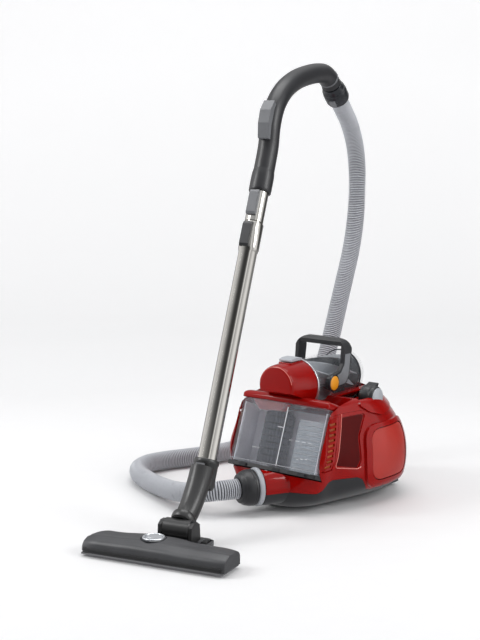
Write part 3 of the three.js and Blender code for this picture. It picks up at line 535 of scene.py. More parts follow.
def void_tools(extra):
    bay = rounded([(-103.8 - extra, -60), (103.8 + extra, -60), (103.8 + extra, 70 + extra),
                   (-103.8 - extra, 70 + extra)], [0, 0, 7, 7])
    tools = [tool(prism(bay, -10 - extra, 190), BIN)]
    r = 51.5 + extra
    arc = [(r * math.cos(t), 229 + r * math.sin(t)) for t in [math.pi + math.pi * k / 40 for k in range(41)]]
    tools.append(tool(prism(arc + [(r, 290), (-r, 290)], -90, 203 + extra, "xz")))
    q = 24.5 + extra
    cup = [(116 + q * math.cos(t), 201 + q * math.sin(t)) for t in [math.pi + math.pi * k / 28
        for k in range(29)]]
    cup += [(116 + q, 245), (116 - q, 245)]
    tools.append(tool(prism(cup, 89 - extra, 150, "yz")))
    tools.append(tool(prism(cup, -150, -89 + extra, "yz")))
    return tools


def copy_of(o, name):
    c = bpy.data.objects.new(name, o.data.copy())
    bpy.context.scene.collection.objects.link(c)
    return c


hollow = tool(mass(-3, 9, 203))
for t in void_tools(3):
    cut(hollow, t)
skin = tool(mass(0))
cut(skin, hollow)
for t in void_tools(0):
    cut(skin, t)
WAVE = [(-200, 41.5), (-50, 41.5), (-40, 47), (-31, 60), (-20, 64), (36, 61), (48, 56), (58, 42), (68, 31),
        (84, 26), (112, 28), (150, 36), (182, 45), (215, 49), (400, 47)]


def wheel_well(s):
    return tool(box_of(s * 84 - 16, s * 84 + 16, 158, 234, -5, 72))


def bay_room():
    """The space the dust unit stands in, a little wider than it."""
    return tool(prism([(-104.4, -60), (104.4, -60), (104.4, 72), (-104.4, 72)], -20, 190), BIN)


def ring_rect(cy, cz, w, h, r):
    return rounded([(cy - w / 2, cz - h / 2), (cy + w / 2, cz - h / 2), (cy + w / 2, cz + h / 2),
        (cy - w / 2, cz + h / 2)], r, 10)


# red main shell, its side recesses, louvre windows and openings
shell = copy_of(skin, "shell")
cut(shell, prism([(400, 185.6), (-200, 185.6)] + [(y, z + 0.2) for y, z in WAVE], -220, 220, "yz"), "INTERSECT")
RECESS = rounded([(7, 180), (-17, 89), (38, 77), (47, 92), (45, 138), (58, 164), (68, 180)],
                 [5, 6, 5, 10, 24, 14, 5], 6)
WINDOW = [(-54, 84), (-26, 84), (1, 181), (-27, 181)]
WINDOW_SPAN = {1: (92, 150), -1: (-150, -92)}
for s in (1, -1):
    scoop = tool(prism(RECESS, *FLANK[s], "yz"))
    cut(scoop, mass(-2.2))
    cut(shell, scoop)
    cut(shell, prism(WINDOW, *WINDOW_SPAN[s], "yz"))
    cut(shell, wheel_well(s))
cut(shell, prism(ring_rect(0, 112, 113.2, 77.2, 12), 240, 300, "xz"))
cut(shell, drum(9.35, 150, 300, "y", (-66, 0, 76), 30))
cut(shell, drum(31, -30, 60, "z", (0, 0, 0), 40), base=INLET)
finish_piece(shell, RED, "canister", ["body_shell"], 34, 0.7)

# dark tub under it
tub = tool(mass(0))
cut(tub, mass(-3, 9, 203))
cut(tub, prism([(-200, -20)] + [(y, z - 0.2) for y, z in WAVE] + [(400, -20)], -220, 220, "yz"), "INTERSECT")
for s in (1, -1):
    cut(tub, wheel_well(s))
cut(tub, drum(25.2, -5, 30, "z", (0, -28, 0), 40))
cut(tub, drum(34, -20, 50, "z", (0, 0, 0), 36), base=INLET)
settle(tub, "tub", DARK, "canister", ["chassis_base"], 34, 0.6)
make("caster_cup", *lathe([(25, 7), (29, 7), (29, 31.5), (4.6, 31.5), (4.6, 28.5), (25, 28.5)], 48),
     BODY @ T((0, -28, 0)), DARK, "canister", bevel=0.4)
for s, side in SIDES:
    arch = [(158, -1 + 8), (158, 50), (166, 64), (180, 71.5), (212, 71.5), (226, 64), (234, 50), (234, 7)]
    liner = tool(prism(arch, s * 84 - 16, s * 84 + 16, "yz"))
    cut(liner, prism([(160, 0), (160, 49), (168, 62.5), (181, 69.5), (211, 69.5), (224, 62.5), (232, 49),
        (232, 0)], s * 84 - 14, s * 84 + 14, "yz"))
    settle(liner, "wheel_arch_" + side, DARK, "canister", sharp=30)

def on_side(y, z, out):
    """Point on the flank of the shell at a given y and height."""
    loop = [station(i, z) for i in range(AROUND // 2 + 1)]
    for a, b in zip(loop[12:], loop[13:]):
        if a.y <= y <= b.y:
            f = (y - a.y) / max(b.y - a.y, 1e-6)
            q = a.lerp(b, f)
            return Vector((q.x + out, y, z))
    return Vector((loop[20].x + out, y, z))


def skin_patch(outer, inner, outline, span, hole=None):
    """Patch of the canister's skin between two offsets, inside an outline seen from the side."""
    patch = tool(mass(outer))
    cut(patch, prism(outline, *span, "yz"), "INTERSECT")
    if hole:
        cut(patch, prism(hole, *span, "yz"))
    cut(patch, mass(inner))
    return patch


FLANK_STEPS = 60


def flank_line(points, out):
    """Line on the flank through (y, z) points."""
    return [on_side(p.x, p.y, out) for p in resample([Vector((y, z, 0)) for y, z in points], FLANK_STEPS)]


for s, side in SIDES:
    place = PLACE[s]
    sill = [(9, 186), (5, 172), (-8.5, 122), (-17.5, 92), (-15, 87.6), (-8, 86), (14, 81.8), (36, 77.6),
        (44, 80)]
    # the sill line is a thin tube in the lighter red: a painted highlight along the recess edge
    make("sill_highlight_" + side, *sweep(flank_line(sill, 0.2), [1.15] * (FLANK_STEPS + 1), 10), place, RED_PAINTED_HIGHLIGHT,
        "canister", sharp=60)
    # the recess floor is lined in darker red: painted shade in the recess
    liner = skin_patch(-1.9, -2.4, rounded([(5, 178), (-14, 91), (37, 79.5), (45, 93), (43, 137), (56, 164),
        (65, 178)], [5, 6, 5, 10, 24, 14, 5], 6), FLANK[s])
    cut(liner, bay_room())
    settle(liner, "side_recess_" + side, RED_PAINTED_SHADE, "canister", sharp=34)
boss = tool(lathe([(30.5, -46), (35.5, -46), (36.5, 6), (36, 13.6), (30.5, 13.6)], 72), INLET)
cut(boss, prism([(-104, -60), (104, -60), (104, 70), (-104, 70)], -10, 190), base=BIN)
cut(boss, box_of(-100, 100, -150, 0, -10, 41.6))
settle(boss, "inlet_boss", RED, "canister", sharp=40, bevel=0.8)
low_boss = tool(lathe([(30.5, -46), (35, -46), (36, 6), (35.5, 13.6), (30.5, 13.6)], 72), INLET)
cut(low_boss, box_of(-100, 100, -150, 0, 41.3, 100))
cut(low_boss, drum(30, -5, 34, "z", (0, -28, 0), 48))
settle(low_boss, "inlet_boss_low", DARK, "canister", sharp=40, bevel=0.8)

# deck with the two trays round the pedals
deck = copy_of(skin, "deck_top")
cut(deck, box_of(-220, 220, -200, 400, 186, 230), "INTERSECT")
for s in (1, -1):
    a, b = sorted((s * 60, s * 220))
    inside = tool(mass(-6.5))
    cut(inside, box_of(a, b, 64, 205, 190, 240), "INTERSECT")
    cut(deck, inside)
    cut(deck, prism([(64, 206.5), (64, 201), (80, 198), (150, 200), (205, 204), (205, 240), (60, 240)], a, b,
        "yz"))
    floor = tool(mass(-5.5))
    cut(floor, box_of(a, b, 63, 206, 186.6, 190.6), "INTERSECT")
    cut(floor, prism([(116 + 24.5 * math.cos(2 * math.pi * k / 40), 201 + 24.5 * math.sin(2 * math.pi * k / 40))
        for k in range(40)], s * 105 - 16.5, s * 105 + 40, "yz"))
    settle(floor, "tray_" + ("R" if s > 0 else "L"), RED, "canister", sharp=34)
finish_piece(deck, RED, "canister", ["deck"], 34, 0.6)
bpy.data.objects.remove(skin)

# side panels: raised rim, dark seam and satin inner panel
for s, side in SIDES:
    rim = skin_patch(5.2, -1.5, ring_rect(125, 96, 142, 126, 36), FLANK[s], ring_rect(125, 99, 117, 103, 27))
    settle(rim, "side_rim_" + side, RED, "canister", sharp=34, bevel=2.2)
    rim.modifiers["edge"].segments = 4
    panel = skin_patch(4.2, 0.4, ring_rect(124.5, 99, 113, 99, 25.5), FLANK[s])
    settle(panel, "side_panel_" + side, RED_SATIN, "canister", ["side_cover_" + side], 34, 1.4)
    seam = skin_patch(1.6, -0.5, ring_rect(125, 99, 119, 105, 27), FLANK[s])
    settle(seam, "side_seam_" + side, DARK_GLOSS, "canister", sharp=34)
    back = skin_patch(-3.6, -4.8, WINDOW, WINDOW_SPAN[s])
    cut(back, bay_room())
    settle(back, "louvre_back_" + side, AMBER, "canister", sharp=34)

# ---- dust unit ----
BIN_BOW = 7.0


def bin_half(z):
    """Half the bin's width at a height: it narrows upwards."""
    return 102 - 3 * z / 125


def bin_outline(z, d):
    """Outline of the bin at a height, d inside its outer face."""
    h = bin_half(z) - d
    front = [(x * h, -BIN_BOW * (1 - x * x) + d) for x in [-1 + k / 12 for k in range(25)]]
    pts = front + [(h, 60 - d), (h - 8, 68 - d), (-(h - 8), 68 - d), (-h, 60 - d)]
    corner = max(7 - d * 0.6, 0.8)
    radii = [corner] + [0] * 23 + [corner] + [5] * 4
    return [(x, y, z) for x, y in rounded(pts, radii, 5)]


def bin_solid(levels, d):
    return solid_of([bin_outline(z, d) for z in levels])


def barrel_room(gap):
    return tool(drum(47 + gap, 10, 195, "y", (0, 0, 229), 56))


glass = tool(bin_solid([0.4, 40, 80, 125], 0), BIN)
cut(glass, bin_solid([-2, 128], 2.4), base=BIN)
cut(glass, barrel_room(3))
settle(glass, "bin_glass", CLEAR, "dust_unit", ["bin"], 34, 0.5)

lid = tool(solid_of([bin_outline(z, d) for z, d in [(125.4, -1.0), (126.2, -1.8), (132, -1.9), (134.6, -1.2),
    (137, 0.8), (139, 3.6), (140.6, 7.6), (141.6, 13), (142, 20)]]), BIN)
cut(lid, barrel_room(3))
settle(lid, "lid_top", RED, "dust_unit", ["lid"], 50)

CORE_AXIS = BIN @ T((-28, 36, 0))
PLEATS, PLEAT_POINTS = 26, 156
core = []
for z, base_r in [(6, 26.5), (9, 27.5), (100, 27.5), (104, 27.5), (112, 20)]:
    wave = [base_r + 1.4 * math.cos(PLEATS * 2 * math.pi * k / PLEAT_POINTS) for k in range(PLEAT_POINTS)]
    core.append([(r * math.cos(2 * math.pi * k / PLEAT_POINTS), r * math.sin(2 * math.pi * k / PLEAT_POINTS), z)
                 for k, r in enumerate(wave)])
pleats = tool(solid_of(core), CORE_AXIS)
cut(pleats, barrel_room(4))
settle(pleats, "filter_pleats", CORE, "dust_unit", ["filter_core"], 60)
for i in range(8):
    z = 8 + i * 12.6
    make("cage_ring_%d" % i, *lathe([(28.2, z), (29.6, z + 0.5), (29.6, z + 1.7), (28.2, z + 2.2)], 60),
         CORE_AXIS, DARK_GLOSS, "dust_unit")

# the back and side walls take that near-white colour as painted light
wall = tool(prism(rounded([(-101, 57), (101, 57), (101, 60), (-101, 60)], 1), 1, 118), BIN)
cut(wall, barrel_room(3))
settle(wall, "bin_back_wall", BIN_BACK_PAINTED_LIGHT, "dust_unit", sharp=34)
for x, side in ((-95, "L"), (95, "R")):
    make("bin_side_wall_" + side, *prism(rounded([(x - 1, 6), (x + 1, 6), (x + 1, 56.4), (x - 1, 56.4)], 0.6,
        3), 1.5, 117), BIN, BIN_BACK_PAINTED_LIGHT, "dust_unit", sharp=40)
chamber = tool(prism(rounded([(24, 26), (97, 26), (97, 28), (26, 28), (26, 56), (24, 56)], 0.6, 2), 1, 101),
    BIN)
settle(chamber, "settling_chamber", MILKY, "dust_unit", sharp=34, bevel=0.3)
for i in range(10):
    z = 8 + i * 9.2
    make("chamber_rib_%d" % i, *prism(rounded([(28, z), (95, z), (95, z + 1.3), (28, z + 1.3)], 0.5, 2), 24.6,
        26, "xz"), BIN, LIGHT_GREY, "dust_unit", slot="clear_plastic")


def front_strip(name, x0, x1, z0, z1, material, out=0.35):
    """Thin raised moulding on the bin's bowed front."""
    def y(x, z):
        return -BIN_BOW * (1 - (x / bin_half(z)) ** 2)
    nx = max(2, int(abs(x1 - x0) / 4) + 2)
    rings = []
    for k in range(nx):
        x = x0 + (x1 - x0) * k / (nx - 1)
        rings.append([(x, y(x, z0) - out, z0), (x, y(x, z0) + 0.2, z0), (x, y(x, z1) + 0.2, z1),
            (x, y(x, z1) - out, z1)])
    return make(name, *solid_of(rings), BIN, material, "dust_unit", bevel=0.15, slot="clear_plastic")


front_strip("bin_rib", 13.4, 15.2, 3, 117, WHITE)
front_strip("bin_rib_left", -85.8, -84.6, 14, 104, LIGHT_GREY)
front_strip("bin_sill", -99, 97, 4.2, 5.4, LIGHT_GREY)
front_strip("level_a", 0.5, 12.6, 76.6, 77.8, WHITE)
for k in range(4):
    front_strip("level_b%d" % k, 32 + k * 13.5, 41 + k * 13.5, 55.6, 56.6, WHITE)
front_strip("level_c", -50, -31, 31.1, 32.1, WHITE)
for k in range(3):
    front_strip("level_d%d" % k, 55 + k * 9, 60 + k * 9, 22 + 1.5 * k, 23 + 1.5 * k, WHITE)
grip_in = prism(rounded([(-78, 124.6), (1, 124.6), (-7, 110), (-58, 106)], [1, 1, 7, 7], 5), 3.0, 20, "xz")
make("lid_grip", *grip_in, BIN, RED_SATIN, "dust_unit", bevel=1.0)
grip_rim = prism(rounded([(-84, 124.6), (7, 124.6), (-4, 106.6), (-62, 102)], [1, 1, 9, 9], 5), 0.6, 3.0, "xz")
make("grip_window", *grip_rim, BIN, CLEAR, "dust_unit", bevel=0.6)
plate = tool(bin_solid([-8, -6.5, -1.5, 0], -1.0), BIN)
settle(plate, "bin_floor", DARK, "dust_unit", ["bin_plate"], 34, 0.9)
for x in (-70, 8, 66):
    make("floor_clip_%d" % (x + 100), *prism(rounded([(x, -7.6), (x + 17, -7.6), (x + 15.5, -1), (x + 1.5, -1)],
        1.4, 3), -9.6, -6, "xz"), BIN, DARK_GLOSS, "dust_unit", bevel=0.5)

# rounded red nose of the cyclone: stations y, radius, axis height
CAP = [(-53.6, 33.5, 235.2), (-53.2, 36, 235.1), (-51.8, 38.2, 235), (-49, 39.6, 234.8), (-41, 41, 234.3),
       (-30, 42.5, 233.5), (-18, 44.2, 232.3), (-6, 46, 231), (6, 47.2, 230), (17.5, 48, 229)]
nose = tool(solid_of([[(r * math.cos(-2 * math.pi * k / 72), y, z + r * math.sin(-2 * math.pi * k / 72))
    for k in range(72)] for y, r, z in CAP]))
cut(nose, box_of(-140, 140, -70, 130, 0, 138), base=BIN)
settle(nose, "cyclone_nose", RED, "dust_unit", ["barrel_cap"], 40, 0.8)
# a thin bead in the lighter red round the nose's rim: a painted highlight
arc = [Vector((37.4 * math.cos(t), -52.3, 235 + 37.4 * math.sin(t))) for t in
       [math.pi * (0.06 + 0.88 * k / 40) for k in range(41)]]
make("nose_highlight_bead", *sweep(arc, [0.8] * len(arc), 10), BODY, RED_PAINTED_HIGHLIGHT, "dust_unit", sharp=60)
tab = prism(rounded([(-15.5, -24), (15.5, -24), (15.5, 15), (-15.5, 15)], 4, 5), 268, 277)
make("tab_base", *tab, BODY, RED, "dust_unit", bevel=1.0)
top = [(-23, 278.7), (15, 278.7), (15, 282), (4, 285), (-14, 284.9), (-23, 282.5)]
make("tab_top", *prism(rounded(top, [1, 1, 2, 6, 6, 2], 4), -14, 14, "yz"), BODY, LIGHT_GREY, "cap_release",
     ["cap_button"], bevel=1.2)

# clear cyclone barrel with curved fins inside it
tube_wall = [(44.8, 23.4), (47, 23.4), (47, 178), (46.2, 184), (43.4, 189), (39, 191.4), (34, 192), (34, 189.8),
             (38.6, 189.2), (42, 187), (44.2, 183), (44.8, 178)]
BARREL = axis_frame(BODY, (0, 0, 229), (0, 1, 0), (1, 0, 0))
make("cyclone_barrel", *lathe(tube_wall, 96), BARREL, SMOKE, "dust_unit", ["barrel"], sharp=50)
make("barrel_collar", *lathe([(44, 18), (49.5, 18), (49.9, 19), (49.9, 22), (49.5, 23), (44, 23)], 96), BARREL,
     SILVER, "dust_unit", ["barrel_ring"], bevel=0.3, slot="grey_plastic")
make("barrel_band", *lathe([(45.4, 168), (47.6, 168), (47.6, 171.5), (45.4, 171.5)], 96), BARREL,
     DARK_GLOSS, "dust_unit", bevel=0.3)
make("barrel_end", *lathe([(0.01, 186), (33.8, 186), (33.8, 191.6), (30, 192.2), (12, 192.2), (10, 190.6),
    (0.01, 190.6)], 72), BARREL, DARK, "dust_unit", bevel=0.5)
make("vortex_core", *lathe([(0.01, 30), (24, 30), (22, 60), (17, 120), (14, 184), (0.01, 184)], 72), BARREL,
     STEEL_GREY, "dust_unit", ["swirl_fins"], sharp=40, slot="dark_plastic")
for i in range(9):
    rings = []
    for k in range(25):
        t = k / 24
        z = 32 + 140 * t
        turn_by = 2 * math.pi * i / 9 + 1.35 * t
        inner_r, outer_r = 22 - 9 * t, 43.2 - 6 * t * t
        c, s = math.cos(turn_by), math.sin(turn_by)
        w = 1.1 + 0.5 * (1 - t)
        rings.append([(c * r - s * v, s * r + c * v, z) for r, v in ((inner_r, -w), (outer_r, -w * 0.7),
            (outer_r, w * 0.7), (inner_r, w))])
    # two vanes in three are light grey as painted highlight on the dark fins
    make("swirl_vane_%d" % i, *solid_of(rings), BARREL, LIGHT_GREY if i % 3 else DARK_GLOSS, "dust_unit",
        sharp=50, bevel=0.4, slot="dark_plastic")
make("inner_shroud", *lathe([(26, 26), (44, 26), (44, 30), (33, 44), (29, 44), (26, 34)], 72), BARREL,
    LIGHT_GREY, "dust_unit", bevel=0.4)

# yellow pivot discs with a dark ring
for s, side in SIDES:
    hub = axis_frame(BODY, (0, 55, 232), (s, 0, 0), (0, 1, 0))
    make("pivot_collar_" + side, *lathe([(12.6, 58.9), (16.2, 58.9), (16.8, 59.8), (16.2, 61.6), (14.6, 62),
        (14.4, 60.2), (12.6, 60.2)], 60), hub, DARK_GLOSS, "bail", sharp=50)
    make("pivot_face_" + side, *lathe([(0.01, 60.4), (13.2, 60.4), (14.0, 61), (14.0, 61.8), (13, 62.7),
        (8, 63.1), (0.01, 63.2)], 60), hub, YELLOW, "dust_unit", ["pivot_disc_" + side], sharp=50)
    make("pivot_stem_" + side, *lathe([(0.01, 46), (5.8, 46), (5.8, 60.5), (0.01, 60.5)], 36), hub, DARK,
        "dust_unit")

# grey grained faces on the carry handle's legs
LEG_FACE = rounded([(70, 223.5), (98, 225.5), (108.5, 238.5), (115.6, 282), (96.5, 282), (94.5, 262),
    (82, 247.5), (70, 244.5)], [4, 5, 6, 3, 3, 6, 6, 4], 4)
for s, side in SIDES:
    place = PLACE[s]
    make("bail_face_" + side, *prism(LEG_FACE, 57.4, 58.7, "yz"), place, GRAIN_GREY, "bail", bevel=0.5)

# pedals: round drum, lug and light end disc
for s, side, body, node_name in ((1, "R", "power_pedal", "pedal_power"),
    (-1, "L", "rewind_pedal", "pedal_rewind")):
    hub = axis_frame(BODY, (0, 116, 201), (s, 0, 0), (0, 1, 0))
    place = PLACE[s]
    make("pedal_drum_" + side, *lathe([(0.01, 90), (20.5, 90), (22.5, 92), (22.5, 108), (21.9, 109),
        (21.9, 111), (22.5, 112), (22.3, 115), (21, 118.6), (19.6, 119.8), (0.01, 119.8)], 72), hub, DARK, body,
        [node_name], sharp=40)
    make("pedal_lug_" + side, *prism(rounded([(112, 213), (123, 215), (131, 226.5), (126, 228), (114, 223)],
        [2, 2, 2, 2, 4], 4), 94, 115, "yz"), place, DARK, body, bevel=1.2)
    make("pedal_end_" + side, *lathe([(0.01, 119.4), (17.8, 119.4), (18.6, 120.2), (18.6, 121.4), (17.6, 122.4),
        (0.01, 123)], 72), hub, LIGHT_GREY, body, sharp=50)
    # raised rim of the pedal tray
    brow = skin_patch(4.4, -2.6, rounded([(62, 203.5), (56, 196), (76, 181), (106, 172), (150, 176), (196, 184),
        (205, 203.5)], [2, 8, 12, 20, 20, 8, 2], 6), FLANK[s])
    settle(brow, "tray_rim_" + side, RED, "canister", sharp=34, bevel=1.6)
    brow.modifiers["edge"].segments = 3

# inlet ring and rotating cuff
make("inlet_ring", *lathe([(25, -3), (29, -3), (29, 10), (33.5, 14), (35.6, 15.4), (36.5, 17), (36.5, 22),
    (35.6, 23.8), (33.5, 24.6), (28.5, 24.6), (25, 12)], 96), INLET, LIGHT_GREY, "canister", ["inlet_socket"],
    sharp=50)
make("cuff_body", *lathe([(19.4, -2), (24.4, -2), (24.4, 12), (28, 25.7), (33.4, 26), (34.4, 27), (34.6, 31),
    (34, 31.6), (34, 33), (34.6, 33.6), (34.2, 39), (32.6, 45), (31, 48.6), (29.6, 49.2), (28.4, 52),
    (27.4, 55), (25.4, 56), (19.4, 56)], 96), INLET, DARK, "inlet_cuff", ["hose_cuff"], sharp=40, bevel=0.3)

# steel tubes
make("wand_tube_low", *lathe([(16.3, -38), (17.4, -38), (17.4, 398), (18, 399.4), (19.1, 404), (19.4, 406),
    (19.4, 453.6), (18.9, 455), (16.3, 455)], 96), TUBE, STEEL, "wand_lower", ["tube_lower"], sharp=50)
make("wand_tube_up", *lathe([(14.8, 60), (15.9, 60), (15.9, 457), (17.4, 458), (17.4, 552), (14.8, 552)], 96),
    TUBE, STEEL, "wand_upper", ["tube_upper"], sharp=50)

# handle: bent grip, foot collar, ring grooves and end cup
HANDLE = [(437, 609), (454, 645), (470, 682), (480, 722), (500, 757), (537, 786), (588, 806), (648, 818),
    (706, 824), (744, 823), (768, 814), (782, 803.5)]
grip_line = spline([(0, y, z) for y, z in HANDLE], 140)
make("grip_body", *sweep(grip_line, [(20 - 0.8 * math.sin(math.pi * k / 140), 20) for k in range(141)], 56),
    HEAD, DARK, "wand_upper", ["handle_grip"], sharp=40, bevel=0.5)
make("grip_foot", *lathe([(17.8, 518), (20.4, 518), (21.2, 519.4), (21.4, 524), (21.4, 548), (20.9, 556),
    (20, 562), (17.8, 562)], 72), TUBE, DARK, "wand_upper", sharp=40)
for k, a in enumerate((-22, -16)):
    p = min(grip_line, key=lambda q: abs((q - Vector(GRIP_END)).length + a))
    at = grip_line.index(p)
    seat = axis_frame(HEAD, p, grip_line[at + 1] - grip_line[at - 1])
    make("grip_ring_%d" % k, *lathe([(19, -0.9), (20.3, -0.9), (20.6, -0.5), (20.6, 0.5), (20.3, 0.9),
        (19, 0.9)], 72), seat, GREY, "wand_upper", sharp=60)
cup = tool(lathe([(15.4, 1.2), (20.4, 1.2), (21, 1.8), (21, 8), (22.6, 12.4), (23, 15), (24, 15.2), (24, 17.8),
                  (23.4, 18.2), (24.6, 21), (25, 24), (25, 45), (24, 48), (21.6, 50), (15.4, 50)], 96), CUFF)
cut(cup, box_of(-6.6, 6.6, 18, 40, 24.8, 42.2), base=CUFF)
settle(cup, "grip_cup", DARK_GLOSS, "hose_swivel", ["handle_cuff"], 40, 0.3)

# neck
neck_line = spline([(0, y, z) for y, z in [(120, 45), (129, 51), (140, 59), (155, 73), (169, 89), (180, 103),
    (188, 115), (194, 125)]], 60)
make("neck_body", *sweep(neck_line, [19 + 2.4 * k / 60 for k in range(61)], 56), HEAD, NECK_DARK, "wand_lower",
    ["neck"], sharp=50)
make("neck_cup", *lathe([(17.7, -46), (20, -47), (21.4, -45), (21.9, -40), (21.9, -4), (22.6, -3), (22.9, 0),
    (22.6, 4), (21.8, 5), (17.7, 5)], 72), TUBE, NECK_DARK, "wand_lower", sharp=50)
tilted = axis_frame(HEAD, (0, 104, 38), (0, math.sin(1.02), math.cos(1.02)))
make("neck_collar", *lathe([(15, 12), (20.6, 12.2), (21.3, 13), (22.4, 18), (22.8, 22), (22.4, 25),
    (21.2, 27.4), (15, 28)], 72), tilted, NECK_DARK, "wand_lower", sharp=50)
across = axis_frame(HEAD, (0, 104, 38), (1, 0, 0), (0, 1, 0))
make("neck_barrel", *lathe([(7.4, -26), (15.6, -26), (17, -24.6), (17, 24.6), (15.6, 26), (7.4, 26)], 64),
    across, NECK_DARK, "wand_lower", sharp=40)

# floor head: crowned top, tail plate and pedal ring
def head_section(x):
    end = max(0.0, (abs(x) - 104) / 33.5)
    left = x < 0
    hump = math.exp(-((x + 10) / 58) ** 4)
    inset = (9 if left else 2.5) * end ** 2.4
    top = 35 + 3 * hump - (8 if left else 2) * end ** 2.2
    front = 27.5 + 1.5 * hump - (6 if left else 1) * end ** 2
    rear = 65 + 5 * math.exp(-((x + 4) / 46) ** 4) - (12 if left else 3) * end ** 2.4
    y0 = 0.5 + inset
    return [(y0, 7.5), (y0 + 0.3, 13), (y0 + 1.4, front - 5), (y0 + 4.6, front), (y0 + 10, front + 2.6),
            (y0 + 20, (front + top) / 2 + 3.2), (34, top - 0.7), (45, top), (rear - 12, top - 0.6),
            (rear - 5, top - 3), (rear - 1, top - 8.5), (rear, 15), (rear, 7.5)]


rings = []
for k in range(89):
    x = -137.5 + 275 * (0.5 - 0.5 * math.cos(math.pi * k / 88))
    line = resample([Vector((0, y, z)) for y, z in head_section(x)], 3 * 12)
    line = spline([line[j] for j in range(0, 37, 2)], 54)
    rings.append([(x, p.y, max(p.z, 7.5)) for p in line])
shellcap = tool(solid_of(rings), HEAD)
cut(shellcap, drum(17.3, 27, 60, "z", (-14, 40, 0), 56), base=HEAD)
settle(shellcap, "head_crown", HEAD_DARK, "floor_head", ["head_top"], 40, 1.2)
strip = []
for k in range(61):
    x = -132 + 264 * k / 60
    y0 = head_section(x)[0][0]
    strip.append([(x, y0 + 2, 9), (x, y0 - 1.6, 9.6), (x, y0 - 2.1, 11), (x, y0 - 2.1, 14), (x, y0 - 1.6, 15.4),
                  (x, y0 + 2, 16)])
make("bumper_strip", *solid_of(strip), HEAD, RUBBER, "floor_head", ["head_bumper"], sharp=50)
tail = tool(prism(rounded([(-72, 56), (72, 56), (53, 134), (40, 141), (-40, 141), (-53, 134)],
    [4, 4, 8, 8, 8, 8], 5), 7.5, 15.6), HEAD)
for x in (-44, 44):
    cut(tail, box_of(x - 7, x + 7, 108, 134, -5, 60), base=HEAD)
settle(tail, "head_tail", HEAD_DARK, "floor_head", sharp=40, bevel=1.2)
make("pedal_trim", *lathe([(15.5, 30), (17.2, 30), (17.2, 37.6), (19.4, 38), (19.6, 39.4), (18.6, 40.6),
    (16.6, 40.8), (15.5, 39.8)], 72), HEAD @ T((-14, 40, 0)), SILVER, "floor_head", ["pedal_ring"], sharp=50,
    slot="steel_plate")
make("pedal_groove", *lathe([(19.2, 36), (22.4, 36), (22.8, 37.6), (21.6, 38.6), (19.2, 38.6)], 72),
     HEAD @ T((-14, 40, 0)), DARK_GLOSS, "floor_head", sharp=50)

# ---- CAD nodes that keep their shape ----
LOOKS = [
    (RED, "louvre_R louvre_L"),
    (DARK, "filter_door cord_outlet caster_fork carry_handle tube_slider"),
    (COPPER, "motor_unit"),
    (RUBBER, "motor_mount wheel_R wheel_L caster_wheel brush_strip head_wheel_R head_wheel_L"),
    (GREY, "cord_reel handle_slider air_slider release_button neck_latch"),
    (BOARD, "control_board"),
    (FOAM, "exhaust_filter motor_filter"),
    (NECK_DARK, "neck_yoke"),
    (STEEL_DARK, "sole_plate"),
    (SILVER, "head_rocker"),
]
for finish, names in LOOKS:
    for name in names.split():
        NODES[name].data.materials.clear()
        NODES[name].data.materials.append(finish)
        smooth(NODES[name], 32)
NODE_EDGES = {"neck_yoke": 2.0, "carry_handle": 1.6, "air_slider": 1.6, "tube_slider": 1.4,
    "handle_slider": 1.4, "neck_latch": 1.0, "release_button": 1.0, "filter_door": 1.0, "louvre_R": 0.6,
    "louvre_L": 0.6, "sole_plate": 0.5}
for name, width in NODE_EDGES.items():
    soften(NODES[name], width, 30, 3)

# ---- floor, backdrop and light ----
FLOOR = finish_of("floor_paper", (0.84, 0.84, 0.842), 0.75, grain=300, bump=0.02, vary=0.004, rough_vary=0.03)
CAMERA_SIDE = R(rad(CAMERA_YAW), 4, "Z")  # turns the row's front to the camera's
SWEEP_TURN = (0.2, 0.45, 0.7, 0.95, 1.2, 1.4, 1.57)
sheet = [(-6, 0), (2.6, 0)] + [(2.6 + 1.6 * math.sin(t), 1.6 - 1.6 * math.cos(t))
    for t in SWEEP_TURN] + [(4.2, 5)]
backdrop = make("backdrop", *solid_of([[(x, y, z) for y, z in sheet] for x in (-7, 7)], caps=False,
    closed_ring=False), CAMERA_SIDE, FLOOR, keep=False)
tree = FLOOR.node_tree
bsdf = tree.nodes["Principled BSDF"]
place = add_node(tree, "ShaderNodeTexCoord")
distance = add_node(tree, "ShaderNodeVectorMath", operation="LENGTH")
glow = add_node(tree, "ShaderNodeMapRange", {"From Min": 1.2, "From Max": 4.2, "To Min": 0.0, "To Max": 0.38})
bsdf.inputs["Emission Color"].default_value = (1, 1, 1, 1)
tree.links.new(place.outputs["Object"], distance.inputs[0])
tree.links.new(distance.outputs["Value"], glow.inputs["Value"])
tree.links.new(glow.outputs["Result"], bsdf.inputs["Emission Strength"])
backdrop.data.materials.append(FLOOR)
for f in backdrop.data.polygons:
    f.use_smooth = True
backdrop.visible_glossy = False

# softboxes: name, place as the camera sees it, aim, size, watts
for name, at, aim, size, watts in (("key", (-2.4, -0.3, 2.0), 0.3, (1.0, 1.4), 34),
    ("fill", (2.1, -1.0, 1.7), 0.3, (0.8, 1.4), 24), ("top", (0.1, 0.4, 2.8), 0.2, (2.2, 1.6), 36)):
    light = bpy.data.lights.new(name, "AREA")
    light.shape, light.size, light.size_y, light.energy = "RECTANGLE", size[0], size[1], watts
    lamp = bpy.data.objects.new(name, light)
    bpy.context.scene.collection.objects.link(lamp)
    lamp.location = CAMERA_SIDE @ Vector(at)
    lamp.rotation_euler = (Vector((0, 0, aim)) - lamp.location).to_track_quat("-Z", "Y").to_euler()

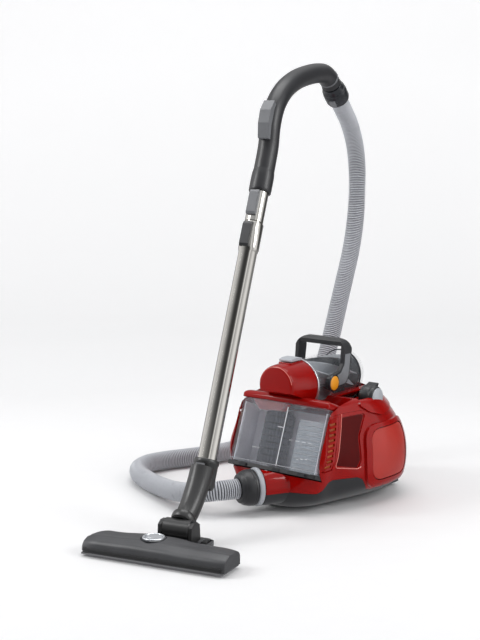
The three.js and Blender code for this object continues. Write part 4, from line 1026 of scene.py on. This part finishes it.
# studio walls, seen only in reflections: degrees round from the camera's side, brightness
WALL = [(-180, 0.45), (-158, 0.16), (-125, 1.2), (-95, 0.95), (-62, 0.55), (-38, 0.16), (-22, 0.07), (6, 0.07),
        (16, 0.3), (26, 1.4), (36, 0.6), (52, 0.9), (70, 1.35), (92, 1.2), (102, 0.3), (118, 0.05), (140, 0.14),
        (158, 0.6), (180, 0.45)]
CEILING, GROUND = (0.85, 0.86, 0.88, 1), (0.42, 0.42, 0.43, 1)
AMBIENT, SEEN = (0.40, 0.40, 0.41, 1), (0.93, 0.93, 0.93, 1)
world = bpy.data.worlds.new("studio")
bpy.context.scene.world = world
world.use_nodes = True
tree = world.node_tree
back = tree.nodes["Background"]
back.inputs["Strength"].default_value = 1.0
coord = add_node(tree, "ShaderNodeTexCoord")
spin = add_node(tree, "ShaderNodeMapping", {"Rotation": (0, 0, -rad(CAMERA_YAW))}, vector_type="POINT")
parts = add_node(tree, "ShaderNodeSeparateXYZ")
behind = add_node(tree, "ShaderNodeMath", {1: -1}, operation="MULTIPLY")
angle = add_node(tree, "ShaderNodeMath", operation="ARCTAN2")
around = add_node(tree, "ShaderNodeMapRange", {"From Min": -math.pi, "From Max": math.pi})
strips = add_node(tree, "ShaderNodeValToRGB")
high = add_node(tree, "ShaderNodeMapRange", {"From Min": 0.45, "From Max": 0.8})
low = add_node(tree, "ShaderNodeMapRange", {"From Min": -0.08, "From Max": -0.35})
rays = add_node(tree, "ShaderNodeLightPath")
ceiled, grounded, glossy, seen = (add_node(tree, "ShaderNodeMix", values, data_type="RGBA") for values in (
    {"B": CEILING}, {"B": GROUND}, {"A": AMBIENT}, {"B": SEEN}))
ramp = strips.color_ramp
while len(ramp.elements) > 1:
    ramp.elements.remove(ramp.elements[-1])
for k, (a, v) in enumerate(WALL):
    stop = ramp.elements[0] if k == 0 else ramp.elements.new((a + 180) / 360)
    stop.position = (a + 180) / 360
    stop.color = (v, v, v * 1.01, 1)
for source, target in ((coord.outputs["Generated"], spin.inputs["Vector"]),
    (spin.outputs["Vector"], parts.inputs["Vector"]), (parts.outputs["Y"], behind.inputs[0]),
    (parts.outputs["X"], angle.inputs[0]), (behind.outputs[0], angle.inputs[1]),
    (angle.outputs[0], around.inputs["Value"]), (around.outputs["Result"], strips.inputs["Fac"]),
    (parts.outputs["Z"], high.inputs["Value"]), (parts.outputs["Z"], low.inputs["Value"]),
    (high.outputs["Result"], ceiled.inputs["Factor"]), (strips.outputs["Color"], ceiled.inputs["A"]),
    (low.outputs["Result"], grounded.inputs["Factor"]), (ceiled.outputs["Result"], grounded.inputs["A"]),
    (rays.outputs["Is Glossy Ray"], glossy.inputs["Factor"]), (grounded.outputs["Result"], glossy.inputs["B"]),
    (rays.outputs["Is Camera Ray"], seen.inputs["Factor"]), (glossy.outputs["Result"], seen.inputs["A"]),
    (seen.outputs["Result"], back.inputs["Color"])):
    tree.links.new(source, target)
bpy.context.scene.view_settings.view_transform = "Standard"
